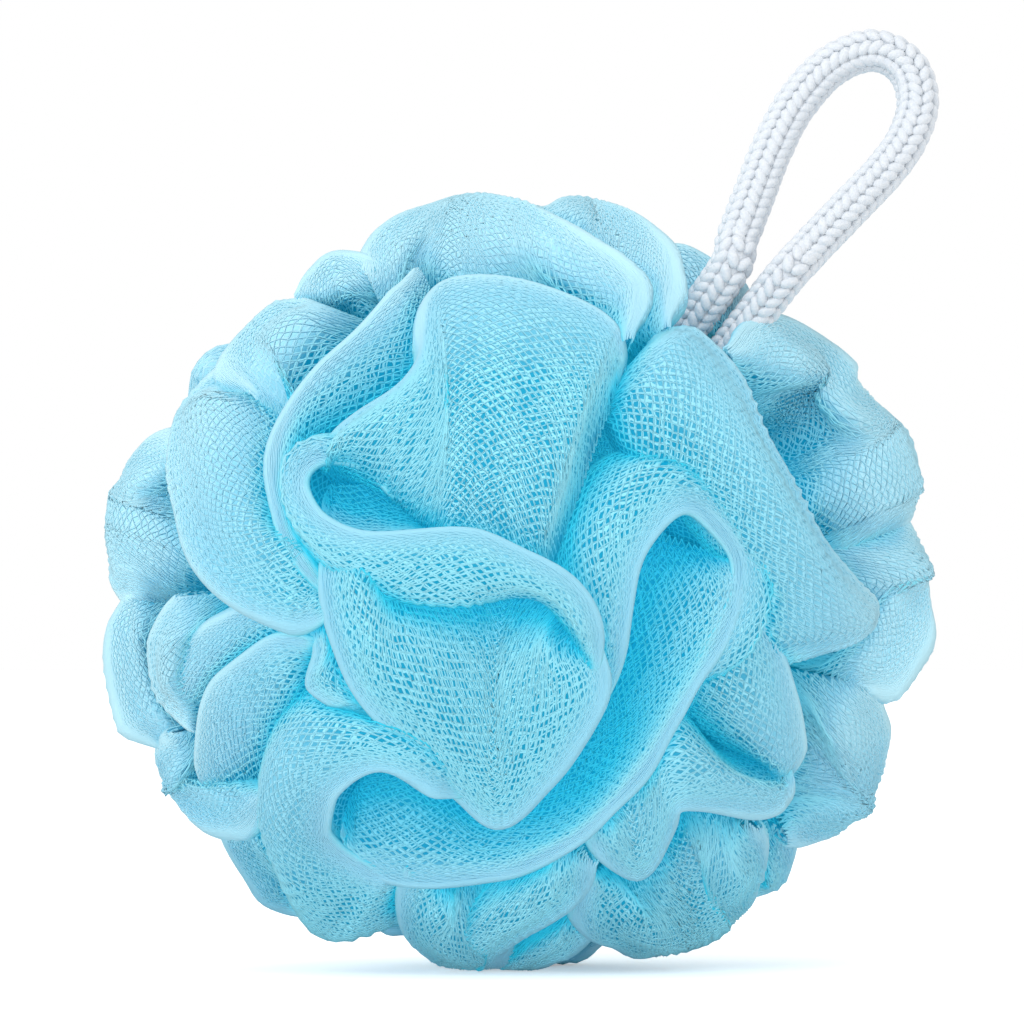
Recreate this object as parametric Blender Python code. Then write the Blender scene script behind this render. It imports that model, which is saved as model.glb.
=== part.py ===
"""A bath sponge: a ball of ruffled netting, gathered and tied at its middle, with a braided hanging loop.

The ball stands on its flattened lowest ruffles, at z = 0, with its middle on the Z axis. The front is at -Y.
Units are metres. Each ruffle is drawn as it is seen from the front, in points of a 1024 x 1024 picture:
its rim, the folded edge of the netting, and its foot, where the netting sinks out of sight.
How far the rim and the foot lie behind the ball's surface, how far the face between them swells and the
radius of the rim's fold are given in millimetres.
"""

import math

import bmesh
import bpy
from mathutils import Matrix, Vector

MILLIMETRE = 0.001

# Netting: the ball, and how deep its ruffles go
BALL_WIDTH = 0.120
BALL_DEPTH = 0.110
BALL_HEIGHT = 0.1156
REST_FLAT_DEPTH = 0.0032
CORE_BELOW_SURFACE = 0.021
RUFFLE_LEAN = 0.012
RUFFLE_ROOT_SHARE = 0.45
NET_VOXEL = 0.0016
NET_TRIANGLES = 10400
SOFTENING_STEPS = 4

# Hanging loop: a braided rope whose two ends are knotted together in the middle of the ball
ROPE_DIAMETER = 0.0058
ROPE_CLEARANCE = 0.0003
LEG_SPACING = 0.0066
LEG_STRAIGHT = 0.016
ROPE_POINT_SPACING = 0.0040
KNOT_SCALE = 0.0031
KNOT_POINTS = 60
THREAD_DIAMETER = 0.0016
THREAD_PITCH = 0.0020
THREAD_TURNS = 3
THREAD_POINTS_PER_TURN = 20
THREAD_ABOVE_KNOT = 0.0040
POCKET_CLEARANCE = 0.0004

# The picture frame that the ruffles are drawn in
PICTURE_MIDDLE = (517.0, 588.0)
PICTURE_HALF_WIDTH = 418.5
PICTURE_HALF_HEIGHT = 403.0

HALF_SIZE = Vector((BALL_WIDTH, BALL_DEPTH, BALL_HEIGHT)) / 2
MIDDLE = Vector((0.0, 0.0, HALF_SIZE.z - REST_FLAT_DEPTH))
ROOT_MIDDLE = MIDDLE + Vector((0.0, RUFFLE_LEAN, 0.0))

COLUMNS_PER_SPAN = 3
FACE_ROWS = 5
ROLL_ROWS = 4
NORMAL_SMOOTHING = 6
END_SPANS = 1.3
END_FULLNESS = 0.3


class Ruffle:
    """One fold of the netting, drawn as seen from the front."""

    def __init__(self, name, rim, foot, rim_below, foot_below, swell, fold):
        self.name = name
        self.rim = rim
        self.foot = foot
        self.rim_below = rim_below
        self.foot_below = foot_below
        self.swell = swell
        self.fold = fold


# The tongue, the S-shaped fold and the broad lobe at the front
CENTRE_RUFFLES = [
    Ruffle(
        "tongue",
        [(318, 545), (326, 573), (338, 631), (358, 685), (397, 733), (453, 790), (497, 824), (540, 785),
         (575, 735), (597, 690), (602, 650)],
        [(338, 548), (352, 558), (372, 570), (400, 582), (433, 585), (474, 583), (509, 580), (535, 582),
         (558, 590), (572, 604), (583, 620)],
        (1.0, 4.0, 6.0, 3.0, 0.5), (3.0, 10.0, 12.0, 12.0, 6.0), 7.0, 1.4,
    ),
    Ruffle(
        "tongue_band",
        [(425, 513), (396, 497), (372, 474), (350, 461), (325, 459), (309, 470), (305, 488), (314, 508),
         (332, 522), (356, 531), (392, 533), (456, 529), (494, 536), (545, 562), (581, 593), (600, 640),
         (598, 680)],
        [(432, 500), (408, 480), (380, 456), (352, 442), (318, 441), (294, 456), (287, 488), (296, 520),
         (316, 546), (344, 566), (376, 582), (440, 592), (480, 589), (520, 587), (555, 598), (578, 632),
         (583, 665)],
        (6.5, 6.0, 3.5, 1.0, 0.3, 0.0, 0.0, 0.0, 1.0), (3.5, 3.5, 3.0, 2.5, 2.0, 2.0, 2.0, 2.0, 1.5),
        2.0, 1.3,
    ),
    Ruffle(
        "turn_hollow",
        [(310, 480), (326, 514), (352, 530), (392, 534), (430, 531), (470, 535)],
        [(318, 462), (345, 460), (366, 468), (390, 485), (425, 512), (465, 536)],
        10.0, 17.0, 0.0, 0.8,
    ),
    Ruffle(
        "broad_lobe",
        [(313, 463), (330, 438), (360, 412), (400, 385), (424, 352), (428, 318), (434, 290), (455, 277),
         (510, 277), (560, 291), (600, 310), (622, 334), (628, 360)],
        [(316, 468), (338, 461), (358, 463), (385, 478), (405, 496), (425, 512), (440, 522), (455, 530),
         (480, 538), (505, 548), (528, 558), (544, 564), (556, 560)],
        4.0, 6.0, 5.0, 1.6,
    ),
    Ruffle(
        "long_curl",
        [(415, 255), (408, 283), (382, 312), (346, 348), (318, 380), (298, 412), (289, 450), (291, 490),
         (303, 530), (322, 565), (335, 602)],
        [(432, 285), (428, 322), (427, 352), (398, 382), (362, 410), (330, 436), (312, 460), (304, 490),
         (312, 530), (328, 568), (341, 602)],
        3.0, 12.0, 0.0, 1.6,
    ),
    Ruffle(
        "middle_fold",
        [(618, 392), (640, 428), (668, 460), (700, 488)],
        [(570, 520), (590, 485), (615, 462), (645, 452)],
        13.0, 16.0, 1.0, 1.0,
    ),
    Ruffle(
        "upper_arch",
        [(605, 705), (618, 660), (628, 600), (637, 560), (655, 529), (674, 509), (690, 505), (705, 512),
         (718, 525), (729, 540), (736, 556), (737, 578), (731, 606), (712, 644), (690, 676)],
        [(552, 650), (545, 600), (556, 545), (575, 505), (605, 465), (631, 455), (655, 459), (680, 472),
         (706, 498), (728, 518), (750, 545), (756, 578), (750, 612), (732, 655), (708, 690)],
        5.0, (11.0, 11.0, 10.0, 9.0, 9.0), 3.0, 1.2,
    ),
    Ruffle(
        "long_bowl",
        [(737, 556), (735, 571), (730, 606), (712, 644), (688, 679), (668, 712), (642, 759), (603, 803),
         (574, 829), (530, 855), (500, 868), (443, 877), (404, 878), (372, 870), (352, 857), (336, 842)],
        [(668, 530), (650, 560), (640, 600), (628, 640), (618, 680), (606, 715), (585, 745), (556, 778),
         (530, 800), (500, 815), (472, 815), (440, 806), (405, 800), (375, 797), (352, 797), (338, 808)],
        5.0, 17.0, 0.0, 1.2,
    ),
    Ruffle(
        "lower_arch",
        [(470, 800), (451, 786), (425, 774), (393, 764), (372, 766), (352, 776), (333, 792), (327, 810),
         (325, 831), (330, 840), (338, 848), (347, 855), (358, 862), (372, 870), (388, 876), (404, 879)],
        [(448, 772), (430, 756), (385, 722), (350, 702), (321, 696), (300, 707), (280, 732), (267, 763),
         (264, 795), (268, 830), (277, 858), (286, 884), (298, 910), (318, 935), (360, 940), (400, 932)],
        (4.0, 4.0, 4.0, 5.0, 5.0), (9.0, 9.0, 9.0, 7.0, 5.0), 4.0, 1.2,
    ),
]

# The long lobe and the folds to the right of it and below it
RIGHT_RUFFLES = [
    Ruffle(
        "long_lobe",
        [(660, 326), (690, 321), (718, 341), (745, 378), (770, 432), (797, 482), (828, 535), (862, 580),
         (887, 605), (888, 632)],
        [(628, 362), (622, 392), (632, 425), (655, 455), (690, 483), (718, 515), (742, 556), (765, 603),
         (780, 645), (796, 666)],
        4.0, 6.0, 6.0, 3.0,
    ),
    Ruffle(
        "right_fold",
        [(735, 556), (759, 606), (776, 641), (791, 688), (801, 726), (803, 759), (794, 785)],
        [(712, 632), (695, 665), (680, 688), (706, 718), (735, 741), (765, 759), (785, 776)],
        7.0, 12.0, 3.0, 1.6,
    ),
    Ruffle(
        "right_curl",
        [(800, 775), (788, 800), (771, 810), (735, 808), (703, 806), (683, 806), (674, 811), (668, 835),
         (656, 861), (639, 877), (621, 870), (600, 850), (586, 826)],
        [(788, 773), (779, 779), (747, 776), (721, 762), (694, 732), (668, 706), (655, 725), (645, 745),
         (632, 760), (618, 775), (608, 790), (598, 800), (590, 808)],
        5.0, 10.0, 3.0, 1.6,
    ),
    Ruffle(
        "upper_right_edge",
        [(738, 345), (770, 326), (795, 321), (824, 335), (843, 361), (861, 383), (896, 407), (915, 426),
         (926, 455), (930, 487), (928, 520)],
        [(750, 390), (770, 392), (790, 393), (805, 398), (818, 408), (828, 430), (830, 460), (827, 498),
         (838, 515), (848, 530), (860, 550)],
        0.0, 16.0, 5.0, 3.0,
    ),
    Ruffle(
        "right_edge",
        [(927, 515), (935, 545), (936, 575), (925, 610), (908, 645), (890, 675), (883, 692)],
        [(850, 545), (862, 575), (872, 605), (876, 630), (860, 650), (838, 662), (815, 672)],
        0.0, 16.0, 5.0, 3.0,
    ),
    Ruffle(
        "lower_right_edge",
        [(884, 690), (889, 730), (888, 765), (880, 800), (862, 825), (835, 843), (801, 851)],
        [(800, 672), (802, 695), (806, 718), (808, 742), (806, 768), (798, 793), (780, 812)],
        0.5, 16.0, 6.0, 3.0,
    ),
    Ruffle(
        "small_right_edge",
        [(806, 845), (792, 878), (772, 900), (745, 914)],
        [(765, 828), (760, 845), (752, 860), (740, 872)],
        3.0, 15.0, 3.0, 2.5,
    ),
]

# The folds along the top, and the one behind the rope
TOP_RUFFLES = [
    Ruffle(
        "top_lobe",
        [(362, 256), (377, 231), (410, 208), (448, 190), (480, 185), (505, 190), (525, 197), (551, 221),
         (580, 256), (602, 278), (620, 300), (626, 332)],
        [(385, 312), (400, 290), (413, 262), (432, 262), (455, 272), (490, 277), (520, 282), (550, 292),
         (575, 302), (595, 312), (610, 325), (618, 340)],
        0.5, 13.0, 3.0, 3.0,
    ),
    Ruffle(
        "top_right_lobe",
        [(525, 198), (555, 191), (589, 189), (614, 200), (635, 218), (646, 245), (656, 285), (667, 318)],
        [(545, 225), (570, 255), (595, 280), (612, 300), (622, 320), (628, 340), (632, 350), (642, 355)],
        0.5, 15.0, 3.0, 3.0,
    ),
    Ruffle(
        "behind_rope",
        [(643, 240), (672, 241), (705, 256), (735, 288), (752, 318)],
        [(655, 300), (670, 315), (690, 328), (712, 338), (735, 350)],
        2.0, 17.0, 2.0, 2.5,
    ),
    Ruffle(
        "top_left_edge",
        [(290, 290), (315, 269), (341, 256), (368, 250)],
        [(325, 305), (345, 303), (368, 298), (388, 292)],
        0.5, 13.0, 3.0, 3.0,
    ),
]

# The folds along the left
LEFT_RUFFLES = [
    Ruffle(
        "upper_left_lobe",
        [(243, 380), (239, 355), (240, 337), (246, 321), (260, 306), (279, 293), (298, 285)],
        [(318, 500), (303, 460), (296, 430), (300, 405), (318, 378), (345, 347), (374, 316)],
        0.5, 13.0, 5.0, 3.5,
    ),
    Ruffle(
        "left_lobe",
        [(333, 606), (300, 607), (273, 604), (242, 596), (216, 583), (195, 562), (179, 533), (169, 499),
         (165, 465), (165, 434), (170, 413), (185, 395), (206, 382), (240, 373)],
        [(325, 575), (318, 560), (312, 548), (306, 535), (300, 522), (296, 508), (293, 490), (290, 470),
         (288, 450), (284, 432), (278, 415), (270, 400), (262, 388), (254, 378)],
        1.0, 10.0, 6.0, 3.5,
    ),
    Ruffle(
        "far_left_lobe",
        [(168, 434), (145, 442), (127, 455), (111, 478), (102, 507), (98, 531), (101, 557), (106, 583),
         (114, 598)],
        [(175, 470), (172, 485), (172, 500), (176, 515), (182, 530), (188, 548), (180, 572), (168, 592),
         (158, 604)],
        0.0, 14.0, 5.0, 3.0,
    ),
    Ruffle(
        "left_side_fold",
        [(162, 598), (149, 632), (147, 670), (158, 710), (180, 738)],
        [(205, 588), (190, 612), (180, 640), (183, 668), (198, 692)],
        3.0, 14.0, 4.0, 3.0,
    ),
    Ruffle(
        "left_pale_edge",
        [(113, 592), (113, 615), (118, 650), (128, 693), (142, 728), (154, 758)],
        [(155, 600), (150, 632), (150, 665), (156, 695), (168, 722), (180, 742)],
        0.5, 13.0, 3.0, 3.0,
    ),
    Ruffle(
        "upper_left_arch",
        [(150, 668), (168, 652), (200, 642), (225, 621), (252, 609), (287, 606), (314, 607), (333, 611)],
        [(190, 740), (196, 715), (209, 690), (231, 667), (259, 647), (285, 638), (306, 641), (320, 652)],
        6.0, 12.0, 2.0, 2.0,
    ),
    Ruffle(
        "little_fold",
        [(300, 628), (314, 638), (318, 656), (308, 680), (315, 691), (342, 704), (380, 718)],
        [(333, 600), (337, 615), (340, 632), (346, 655), (358, 680), (378, 702), (400, 722)],
        6.0, 8.0, 1.5, 1.4,
    ),
    Ruffle(
        "lower_left_arch",
        [(200, 817), (197, 780), (201, 730), (212, 690), (232, 668), (260, 649), (287, 640), (312, 641)],
        [(230, 814), (242, 800), (256, 782), (268, 755), (282, 730), (300, 708), (316, 693), (330, 690)],
        4.0, 13.0, 1.0, 1.6,
    ),
    Ruffle(
        "lower_left_lobe",
        [(155, 742), (152, 760), (154, 780), (167, 801), (187, 814), (208, 818), (232, 814), (256, 800)],
        [(190, 735), (195, 750), (198, 765), (199, 778), (204, 786), (214, 790), (230, 788), (245, 780)],
        0.5, 12.0, 4.0, 3.0,
    ),
    Ruffle(
        "low_left_edge",
        [(229, 812), (232, 842), (243, 866), (263, 890), (284, 911), (312, 930)],
        [(268, 800), (270, 820), (274, 842), (282, 862), (292, 882), (308, 900)],
        1.0, 13.0, 4.0, 3.0,
    ),
]

# The folds that the ball stands on
BOTTOM_RUFFLES = [
    Ruffle(
        "bottom_lobe",
        [(404, 879), (403, 906), (409, 941), (428, 962), (452, 980), (479, 989), (483, 972), (495, 955),
         (520, 938), (545, 922), (575, 900), (594, 868)],
        [(440, 875), (450, 877), (458, 878), (466, 879), (475, 879), (485, 878), (495, 876), (508, 870),
         (525, 862), (545, 852), (560, 844), (575, 836)],
        2.0, 9.0, 5.0, 2.5,
    ),
    Ruffle(
        "bottom_behind",
        [(472, 989), (497, 991), (521, 985), (541, 973), (569, 959), (599, 943)],
        [(500, 950), (515, 938), (535, 925), (552, 915), (572, 905), (592, 888)],
        2.0, 12.0, 3.0, 3.0,
    ),
    Ruffle(
        "bottom_right_lobe",
        [(592, 886), (593, 922), (601, 943), (620, 956), (642, 965), (661, 965), (690, 959), (722, 946),
         (738, 930), (750, 908), (765, 876), (765, 838)],
        [(612, 872), (620, 878), (628, 884), (640, 885), (650, 882), (660, 874), (672, 860), (682, 846),
         (692, 834), (706, 824), (722, 817), (742, 812)],
        2.0, 11.0, 5.0, 3.5,
    ),
]

# The fold behind them that takes its share of the weight, drawn as seen from the back
BACK_FOOT_RUFFLE = Ruffle(
    "back_foot",
    [(420, 960), (448, 978), (480, 984), (520, 986), (560, 984), (592, 976), (620, 955)],
    [(400, 890), (435, 900), (475, 905), (520, 907), (560, 905), (605, 898), (640, 885)],
    0.0, 4.0, 3.0, 3.0,
)

FRONT_RUFFLES = CENTRE_RUFFLES + RIGHT_RUFFLES + TOP_RUFFLES + LEFT_RUFFLES + BOTTOM_RUFFLES
EDGE_RUFFLES = RIGHT_RUFFLES + TOP_RUFFLES + LEFT_RUFFLES + BOTTOM_RUFFLES

# How the folds run on round the back, turned about the depth axis so that the two sides differ
BACK_CENTRE_TURN = 205.0
BACK_CENTRE_SHRINK = 0.985
BACK_EDGE_TURN = 21.0
BACK_EDGE_SHRINK = 0.94

# The hanging loop's route in the same picture, from the left leg over the top to the right leg.
# The third number is how far it lies in front of the ball's middle, in millimetres.
ROPE_ROUTE = [
    (716, 288, 21.0), (734, 243, 20.0), (751, 199, 18.0), (769, 153, 16.0), (793, 108, 14.0),
    (828, 70, 12.5), (870, 54, 12.0), (903, 70, 12.5), (914, 104, 14.0), (905, 139, 16.0),
    (882, 173, 18.0), (846, 211, 20.0), (803, 256, 21.5), (767, 298, 22.5),
]


def set_back(point, below):
    """A picture point brought onto the front of the ball, and so many millimetres back from there."""
    x = (point[0] - PICTURE_MIDDLE[0]) / PICTURE_HALF_WIDTH
    z = (PICTURE_MIDDLE[1] - point[1]) / PICTURE_HALF_HEIGHT
    y = -HALF_SIZE.y * math.sqrt(max(1 - x * x - z * z, 0.0)) + below * MILLIMETRE
    return MIDDLE + Vector((x * HALF_SIZE.x, y, z * HALF_SIZE.z))


def set_back_line(points, below):
    """The points brought onto the ball, at one depth or at depths spread evenly along them."""
    if not isinstance(below, tuple):
        below = (below, below)
    line = []
    for index, point in enumerate(points):
        place = index / (len(points) - 1) * (len(below) - 1)
        start = min(int(place), len(below) - 2)
        depth = below[start] + (below[start + 1] - below[start]) * (place - start)
        line.append(set_back(point, depth))
    return line


def smooth_line(points, per_span):
    """Points on the smooth curve through the given ones."""
    line = []
    last = len(points) - 1
    for index in range(last):
        before = points[max(index - 1, 0)]
        start = points[index]
        end = points[index + 1]
        after = points[min(index + 2, last)]
        for step in range(per_span):
            t = step / per_span
            line.append(
                0.5
                * (
                    2 * start
                    + (end - before) * t
                    + (2 * before - 5 * start + 4 * end - after) * t**2
                    + (3 * start - before - 3 * end + after) * t**3
                )
            )
    line.append(points[last])
    return line


def facing_normals(rim, foot):
    """The way that the face looks at each column, smoothed along the ruffle."""
    last = len(rim) - 1
    normals = []
    for index in range(last + 1):
        along = rim[min(index + 1, last)] - rim[max(index - 1, 0)]
        along += foot[min(index + 1, last)] - foot[max(index - 1, 0)]
        normals.append(along.cross(rim[index] - foot[index]).normalized())
    towards_viewer = sum((normal.y for normal in normals), 0.0) < 0
    if not towards_viewer:
        normals = [-normal for normal in normals]
    for _ in range(NORMAL_SMOOTHING):
        normals = [
            (normals[max(index - 1, 0)] + 2 * normals[index] + normals[min(index + 1, last)]).normalized()
            for index in range(last + 1)
        ]
    return normals


def ruffle_section(rim, foot, normal, ruffle, fullness):
    """The outline of the netting across a ruffle: root, foot, swelling face, folded rim and root again."""
    outwards = (rim - foot).normalized()
    inwards = -(normal - outwards * normal.dot(outwards)).normalized()
    fold = ruffle.fold * MILLIMETRE * max(fullness, END_FULLNESS)
    edge = rim - outwards * fold
    section = [ROOT_MIDDLE + (foot - ROOT_MIDDLE) * RUFFLE_ROOT_SHARE]
    for row in range(FACE_ROWS):
        t = row / (FACE_ROWS - 1)
        swell = 4 * ruffle.swell * MILLIMETRE * t * (1 - t) * fullness
        section.append(foot.lerp(edge, t) + normal * swell)
    for row in range(1, ROLL_ROWS + 1):
        angle = math.pi * row / ROLL_ROWS
        section.append(edge + fold * (math.sin(angle) * outwards + (1 - math.cos(angle)) * inwards))
    section.append(ROOT_MIDDLE + (rim - ROOT_MIDDLE) * RUFFLE_ROOT_SHARE)
    return section


def add_ruffle(mesh, ruffle, placing):
    """Adds one ruffle to the mesh, as a closed solid lofted through its sections."""
    rim = smooth_line(set_back_line(ruffle.rim, ruffle.rim_below), COLUMNS_PER_SPAN)
    foot = smooth_line(set_back_line(ruffle.foot, ruffle.foot_below), COLUMNS_PER_SPAN)
    rings = []
    for index, normal in enumerate(facing_normals(rim, foot)):
        from_end = min(index, len(rim) - 1 - index) / COLUMNS_PER_SPAN
        fullness = math.sin(math.pi / 2 * min(from_end / END_SPANS, 1.0))
        section = ruffle_section(rim[index], foot[index], normal, ruffle, fullness)
        rings.append([mesh.verts.new(placing @ point) for point in section])
    for ring, following in zip(rings, rings[1:]):
        for index in range(len(ring)):
            after = (index + 1) % len(ring)
            mesh.faces.new((ring[index], ring[after], following[after], following[index]))
    mesh.faces.new(rings[0][::-1])
    mesh.faces.new(rings[-1])


def about_middle(change, shrink):
    """The placing that turns or mirrors a ruffle about the ball's middle and makes it a little smaller."""
    return Matrix.Translation(MIDDLE) @ change @ Matrix.Scale(shrink, 4) @ Matrix.Translation(-MIDDLE)


def add_core(mesh):
    """The dense gathers that the ruffles grow from."""
    level = 1 - CORE_BELOW_SURFACE / HALF_SIZE.y
    size = Matrix.Diagonal((*(HALF_SIZE * level), 1.0))
    bmesh.ops.create_icosphere(mesh, subdivisions=4, radius=1.0, matrix=Matrix.Translation(MIDDLE) @ size)


def new_object(name, mesh):
    """A new object from a bmesh, which is freed."""
    data = bpy.data.meshes.new(name)
    bmesh.ops.recalc_face_normals(mesh, faces=mesh.faces)
    mesh.to_mesh(data)
    mesh.free()
    obj = bpy.data.objects.new(name, data)
    bpy.context.collection.objects.link(obj)
    return obj


def apply_modifiers(obj):
    """Replaces the object's mesh by what its modifiers make of it."""
    graph = bpy.context.evaluated_depsgraph_get()
    result = bpy.data.meshes.new_from_object(obj.evaluated_get(graph))
    obj.modifiers.clear()
    obj.data = result


def keep_largest_body(obj):
    """Removes the closed pockets between ruffles and any crumb that a cut leaves."""
    mesh = bmesh.new()
    mesh.from_mesh(obj.data)
    left = set(mesh.verts)
    bodies = []
    while left:
        queue = [left.pop()]
        body = set(queue)
        while queue:
            for edge in queue.pop().link_edges:
                for vert in edge.verts:
                    if vert in left:
                        left.remove(vert)
                        body.add(vert)
                        queue.append(vert)
        bodies.append(body)
    bodies.sort(key=len)
    for body in bodies[:-1]:
        bmesh.ops.delete(mesh, geom=list(body), context="VERTS")
    mesh.to_mesh(obj.data)
    mesh.free()


def cut_away(obj, cutters):
    """Cuts each of the cutter objects out of the object, and removes the cutters."""
    for cutter in cutters:
        cut = obj.modifiers.new(cutter.name, "BOOLEAN")
        cut.operation = "DIFFERENCE"
        cut.use_self = True
        cut.object = cutter
        apply_modifiers(obj)
        bpy.data.objects.remove(cutter)


def floor_cutter():
    """Everything below the surface that the ball stands on."""
    mesh = bmesh.new()
    bmesh.ops.create_cube(mesh, size=2 * BALL_WIDTH)
    bmesh.ops.translate(mesh, verts=mesh.verts, vec=(0.0, 0.0, -BALL_WIDTH))
    return new_object("below_floor", mesh)


def in_picture(x, z, forward):
    """A picture point that lies so many millimetres in front of the ball's middle."""
    return MIDDLE + Vector(
        (
            (x - PICTURE_MIDDLE[0]) / PICTURE_HALF_WIDTH * HALF_SIZE.x,
            -forward * MILLIMETRE,
            (PICTURE_MIDDLE[1] - z) / PICTURE_HALF_HEIGHT * HALF_SIZE.z,
        )
    )


class RopeFrame:
    """Where the rope's two legs run: straight out of the knot, side by side, then into the loop."""

    def __init__(self):
        loop = [in_picture(*point) for point in ROPE_ROUTE]
        outside = (loop[0] + loop[-1]) / 2
        self.out = (outside - MIDDLE).normalized()
        across = loop[-1] - loop[0]
        self.across = (across - self.out * across.dot(self.out)).normalized()
        self.front = self.out.cross(self.across)
        self.loop = loop
        self.knot_middle = MIDDLE.copy()
        self.knot_half_height = KNOT_SCALE + ROPE_DIAMETER / 2
        self.knot_half_width = 3 * KNOT_SCALE + ROPE_DIAMETER / 2

    def at(self, across, front, out):
        return self.knot_middle + self.across * across + self.front * front + self.out * out


def curve_tube(name, points, radius, sides_setting, closed=False):
    """A tube along a polyline, with filled ends where it is open."""
    curve = bpy.data.curves.new(name, "CURVE")
    curve.dimensions = "3D"
    curve.bevel_depth = radius
    curve.bevel_resolution = sides_setting
    curve.use_fill_caps = not closed
    spline = curve.splines.new("POLY")
    spline.points.add(len(points) - 1)
    for target, point in zip(spline.points, points):
        target.co = (*point, 1.0)
    spline.use_cyclic_u = closed
    obj = bpy.data.objects.new(name, curve)
    bpy.context.collection.objects.link(obj)
    return obj


def as_mesh_object(obj):
    """The same tube as a mesh object, which a Boolean can use."""
    graph = bpy.context.evaluated_depsgraph_get()
    data = bpy.data.meshes.new_from_object(obj.evaluated_get(graph))
    name = obj.name
    bpy.data.objects.remove(obj)
    mesh = bmesh.new()
    mesh.from_mesh(data)
    bmesh.ops.remove_doubles(mesh, verts=mesh.verts, dist=ROPE_CLEARANCE / 30)
    return new_object(name, mesh)


def evenly_spaced(points, spacing):
    """The smooth curve through the points, read at even distances."""
    fine = smooth_line(points, 40)
    lengths = [0.0]
    for start, end in zip(fine, fine[1:]):
        lengths.append(lengths[-1] + (end - start).length)
    count = max(round(lengths[-1] / spacing), 2)
    even = []
    index = 0
    for step in range(count + 1):
        target = lengths[-1] * step / count
        while index < len(fine) - 2 and lengths[index + 1] < target:
            index += 1
        span = lengths[index + 1] - lengths[index]
        even.append(fine[index].lerp(fine[index + 1], (target - lengths[index]) / span))
    return even


def rope_route(frame):
    """The rope from the knot, up its left leg, round the loop and back down to the knot."""
    start = frame.knot_half_height + ROPE_CLEARANCE
    straight = [start, start + LEG_STRAIGHT / 2, start + LEG_STRAIGHT]
    left = [frame.at(-LEG_SPACING / 2, 0.0, out) for out in straight]
    right = [frame.at(LEG_SPACING / 2, 0.0, out) for out in straight]
    return evenly_spaced(left + frame.loop + right[::-1], ROPE_POINT_SPACING)


def make_hanging_loop(frame):
    rope = curve_tube("hanging_loop", rope_route(frame), ROPE_DIAMETER / 2, 3)
    rope.data.materials.append(plain_material("white_rope", (0.86, 0.88, 0.90), 0.75))
    return rope


def make_rope_knot(frame):
    """An overhand knot of the same rope, whose turns lie across the legs."""
    points = []
    for index in range(KNOT_POINTS):
        t = 2 * math.pi * index / KNOT_POINTS
        points.append(
            frame.at(
                KNOT_SCALE * (math.sin(t) + 2 * math.sin(2 * t)),
                KNOT_SCALE * (math.cos(t) - 2 * math.cos(2 * t)),
                -KNOT_SCALE * math.sin(3 * t),
            )
        )
    knot = curve_tube("rope_knot", points, ROPE_DIAMETER / 2, 3, closed=True)
    knot.data.materials.append(plain_material("white_knot", (0.84, 0.86, 0.88), 0.75))
    return knot


def round_legs(frame, angle, reach, out):
    """A point of the oblong that lies so far outside the two legs' middles."""
    side = 0.0
    if abs(math.cos(angle)) > 1e-6:
        side = math.copysign(LEG_SPACING / 2, math.cos(angle))
    return frame.at(side + reach * math.cos(angle), reach * math.sin(angle), out)


def thread_route(frame):
    """The tying thread's turns round both legs."""
    reach = ROPE_DIAMETER / 2 + ROPE_CLEARANCE + THREAD_DIAMETER / 2
    bottom = frame.knot_half_height + THREAD_ABOVE_KNOT
    points = []
    for index in range(THREAD_TURNS * THREAD_POINTS_PER_TURN + 1):
        turns = index / THREAD_POINTS_PER_TURN
        points.append(round_legs(frame, 2 * math.pi * turns, reach, bottom + THREAD_PITCH * turns))
    return points


def make_tying_thread(frame):
    thread = curve_tube("tying_thread", thread_route(frame), THREAD_DIAMETER / 2, 2)
    thread.data.materials.append(plain_material("white_thread", (0.80, 0.84, 0.88), 0.6))
    return thread


def pocket_cutter(frame):
    """The room that the gathered netting leaves round the knot and the tying thread."""
    mesh = bmesh.new()
    turn = Matrix((frame.across, frame.front, frame.out)).transposed().to_4x4()
    place = Matrix.Translation(frame.knot_middle) @ turn
    height = 2 * (frame.knot_half_height + POCKET_CLEARANCE)
    radius = frame.knot_half_width + POCKET_CLEARANCE
    bmesh.ops.create_cone(
        mesh, cap_ends=True, segments=24, radius1=radius, radius2=radius, depth=height, matrix=place
    )
    return new_object("knot_pocket", mesh)


def thread_pocket_cutter(frame):
    """The waist round the legs that the tying thread lies in."""
    reach = ROPE_DIAMETER / 2 + ROPE_CLEARANCE + THREAD_DIAMETER + POCKET_CLEARANCE
    bottom = frame.knot_half_height - POCKET_CLEARANCE
    top = frame.knot_half_height + THREAD_ABOVE_KNOT + THREAD_PITCH * THREAD_TURNS + THREAD_DIAMETER
    mesh = bmesh.new()
    rings = []
    for out in (bottom, top):
        points = [
            round_legs(frame, 2 * math.pi * index / THREAD_POINTS_PER_TURN, reach, out)
            for index in range(THREAD_POINTS_PER_TURN)
        ]
        rings.append([mesh.verts.new(point) for point in points])
    for index in range(THREAD_POINTS_PER_TURN):
        after = (index + 1) % THREAD_POINTS_PER_TURN
        mesh.faces.new((rings[0][index], rings[0][after], rings[1][after], rings[1][index]))
    mesh.faces.new(rings[0][::-1])
    mesh.faces.new(rings[1])
    return new_object("thread_pocket", mesh)


def plain_material(name, colour, roughness):
    material = bpy.data.materials.new(name)
    material.use_nodes = True
    shader = material.node_tree.nodes["Principled BSDF"]
    shader.inputs["Base Color"].default_value = (*colour, 1.0)
    shader.inputs["Roughness"].default_value = roughness
    shader.inputs["Metallic"].default_value = 0.0
    return material


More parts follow.
